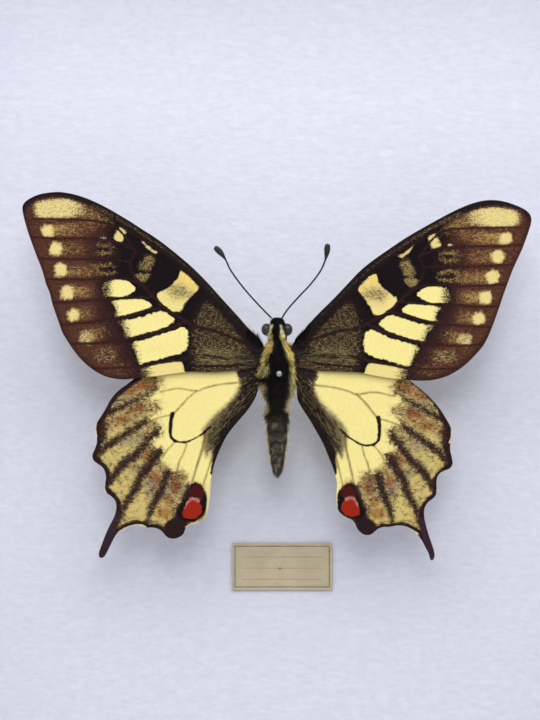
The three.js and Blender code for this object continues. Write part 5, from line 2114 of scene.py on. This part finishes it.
@dataclass
class Butterfly:
    """The specimen: wings, body, antennae, legs and their hair."""

    forewing_rise: float = 1.6 * MM
    hindwing_rise: float = 1.1 * MM
    hindwing_set_back: float = 0.7 * MM

    def build(self) -> None:
        """Build every part of the specimen."""
        finish = TintedFinish("body_hair", True, 0.65, 0.5 * MM, 0.02 * MM)
        coat = FurCoat(FurTree().build(), finish.build())
        self._build_wings(coat)
        self._build_body(coat)
        antennae = CuticleFinish("antenna_cuticle", Tint.ANTENNA, 0.5, 0.08 * MM).build()
        Antenna("antenna_left", [(271.5, 318), (262, 308.5), (250, 295.5), (240, 283.5), (230.5, 270),
                                 (226, 260.5), (221, 253.5), (215, 247.5)]).build(antennae)
        Antenna("antenna_right", [(282, 318), (288, 309), (300, 295.5), (310, 285), (319.5, 272.5),
                                  (324.5, 262), (326.5, 253.5), (327.3, 244.5)]).build(antennae)
        legs = CuticleFinish("leg_cuticle", Tint.LEG, 0.6, 0.1 * MM).build()
        for pair in ("front", "middle", "hind"):
            for side in ("left", "right"):
                dress(f"leg_{pair}_{side}", legs)

    def _build_wings(self, coat: FurCoat) -> None:
        """Build the four wings.

        Args:
            coat: the hair at their roots.
        """
        fore = ScaledWingFinish("forewing_scales").build()
        hind = ScaledWingFinish("hindwing_scales").build()
        fore_pattern, hind_pattern = ForewingPattern(), HindwingPattern()
        root_left, root_right = (266, 350), (290, 350)
        low_left, low_right = (262, 378), (293, 378)
        rise, low_rise, back = self.forewing_rise, self.hindwing_rise, self.hindwing_set_back
        Wing("hindwing_left", HINDWING_LEFT, hind_pattern, None, low_left, back, low_rise,
             "hindwing_scales", 21).build(hind, coat)
        Wing("hindwing_right", HINDWING_RIGHT, hind_pattern, HINDWING_LANDMARKS, low_right, back, low_rise,
             "hindwing_scales", 31).build(hind, coat)
        Wing("forewing_left", FOREWING_LEFT, fore_pattern, None, root_left, 0.0, rise,
             "forewing_scales", 41).build(fore, coat)
        Wing("forewing_right", FOREWING_RIGHT, fore_pattern, FOREWING_LANDMARKS, root_right, 0.0, rise,
             "forewing_scales", 51, dusting=0.045).build(fore, coat)

    def _build_body(self, coat: FurCoat) -> None:
        """Build head, thorax and abdomen, the eyes and the pin.

        Args:
            coat: the hair that grows on them.
        """
        skin_finish = TintedFinish("hairy_cuticle").build()
        markings = BodyMarkings()
        parts = (
            BodyPart("thorax", (
                Station(338, 0.6, 0.7, 0.5), Station(342, 1.3, 1.4, 0.6), Station(349, 1.9, 2.0, 0.8),
                Station(358, 2.25, 2.35, 0.9), Station(368, 2.4, 2.5, 1.0), Station(378, 2.3, 2.4, 1.0),
                Station(388, 2.0, 2.1, 0.9), Station(396, 1.5, 1.6, 0.8), Station(401, 0.9, 1.0, 0.8)),
                44, 1.0 * MM, 0.3, 11, 0.2, 0.05, 0.36),
            BodyPart("abdomen", (
                Station(392, 0.9, 0.9, 0.8), Station(397, 1.35, 1.35, 0.8), Station(406, 1.5, 1.5, 0.8),
                Station(420, 1.6, 1.6, 0.95), Station(432, 1.58, 1.58, 1.0), Station(445, 1.36, 1.36, 1.1),
                Station(458, 1.1, 1.1, 1.2), Station(467, 0.9, 0.9, 1.2), Station(472.5, 0.6, 0.6, 1.2),
                Station(477.5, 0.15, 0.2, 1.2)),
                48, 0.85 * MM, 0.24, 12, 0.05, 0.06, 0.5, 0.5, 8),
            BodyPart("head", (
                Station(317.5, 0.4, 0.4, 0.3), Station(320, 0.85, 0.8, 0.4), Station(326, 1.15, 1.05, 0.5),
                Station(333, 1.2, 1.1, 0.5), Station(338, 1.1, 1.0, 0.5), Station(342, 0.7, 0.7, 0.5)),
                60, 0.5 * MM, 0.35, 13, 0.1, 0.06, 0.3),
        )
        for part in parts:
            piece = part.skin()
            part.prepare(piece, markings)
            fur = coat.grow(part.name + "_fur", piece, part.hairs, part.jitter, part.seed, part.slimness)
            settle(piece, skin_finish, "body_fur", part.name)
            settle(fur, coat.material, "body_fur")
        Head().build(CuticleFinish("compound_eye", Tint.COMPOUND_EYE, 0.35, 0.07 * MM, 0.2).build())
        Pin().build(MetalFinish("pin_steel", Tint.STEEL, 0.34).build())


@dataclass(frozen=True)
class Lamp:
    """A soft rectangular lamp in front of the case, raised by an angle and aimed at the specimen."""

    name: str
    elevation: float
    distance: float
    width: float
    height: float
    power: float
    mirrored: bool = True

    def hang(self, target: Vector) -> None:
        """Put the lamp in the scene.

        Args:
            target: the place it is aimed at.
        """
        tilt = math.radians(self.elevation)
        place = target + Vector((0, -math.cos(tilt), math.sin(tilt))) * self.distance
        data = bpy.data.lights.new(self.name, "AREA")
        data.shape = "RECTANGLE"
        data.size = self.width
        data.size_y = self.height
        data.energy = self.power
        lamp = place_piece(self.name, data)
        lamp.location = place
        lamp.rotation_euler = (target - place).to_track_quat("-Z", "Y").to_euler()
        lamp.visible_glossy = self.mirrored


@dataclass
class Studio:
    """Floor, soft lights and the camera at the photograph's viewing angle."""

    camera_distance: float = 260 * MM
    frame_px: Pair = (540, 720)
    sensor: float = 36.0
    sky: float = 0.42
    lamps: tuple[Lamp, ...] = (
        Lamp("top_strip", 42, 370 * MM, 580 * MM, 220 * MM, 1.06),
        Lamp("front_fill", 18, 300 * MM, 80 * MM, 80 * MM, 0.23, mirrored=False))

    def build(self) -> None:
        """Set the stage."""
        self._camera()
        self._lights()
        self._floor()
        scene = bpy.context.scene
        scene.view_settings.view_transform = "Standard"
        scene.view_settings.look = "None"

    def _camera(self) -> None:
        """Look straight at the plane of the wings, framed as the photograph is."""
        data = bpy.data.cameras.new("photo_camera")
        data.sensor_width = self.sensor
        half_height = self.frame_px[1] / 2 * PLANE.pixel
        data.lens = self.sensor / 2 * self.camera_distance / half_height
        data.clip_start = 0.01
        camera = place_piece("photo_camera", data)
        middle = [size / 2 for size in self.frame_px]
        camera.location = (PLANE.across(middle[0]), PLANE.depth - self.camera_distance, PLANE.up(middle[1]))
        camera.rotation_euler = (math.pi / 2, 0, 0)
        bpy.context.scene.camera = camera

    def _lights(self) -> None:
        """Hang the lamps under a dim even sky."""
        world = bpy.data.worlds.new("pale_room")
        bpy.context.scene.world = world
        world.use_nodes = True
        sky = world.node_tree.nodes["Background"]
        sky.inputs["Color"].default_value = (0.93, 0.95, 1.0, 1)
        sky.inputs["Strength"].default_value = self.sky
        for lamp in self.lamps:
            lamp.hang(Vector((0, PLANE.depth, PLANE.middle)))

    def _floor(self) -> None:
        """Lay a pale floor under the case."""
        reach = 3.0
        corners = np.array([(-reach, -reach, 0), (reach, -reach, 0), (reach, reach, 0), (-reach, reach, 0)])
        floor = mesh_object("studio_floor", corners, [[0, 1, 2, 3]], None)
        finish = FeltedFinish("studio_floor", Tint.FLOOR, 2 * MM, 0.1 * MM, 80 * MM, 0.04)
        floor.data.materials.append(finish.build())


def main() -> None:
    """Build the scene: studio, case, label and specimen."""
    logging.basicConfig(level=logging.INFO, format="%(name)s: %(message)s")
    Studio().build()
    Case().build()
    DataLabel().build()
    Butterfly().build()


if __name__ == "__main__":
    main()
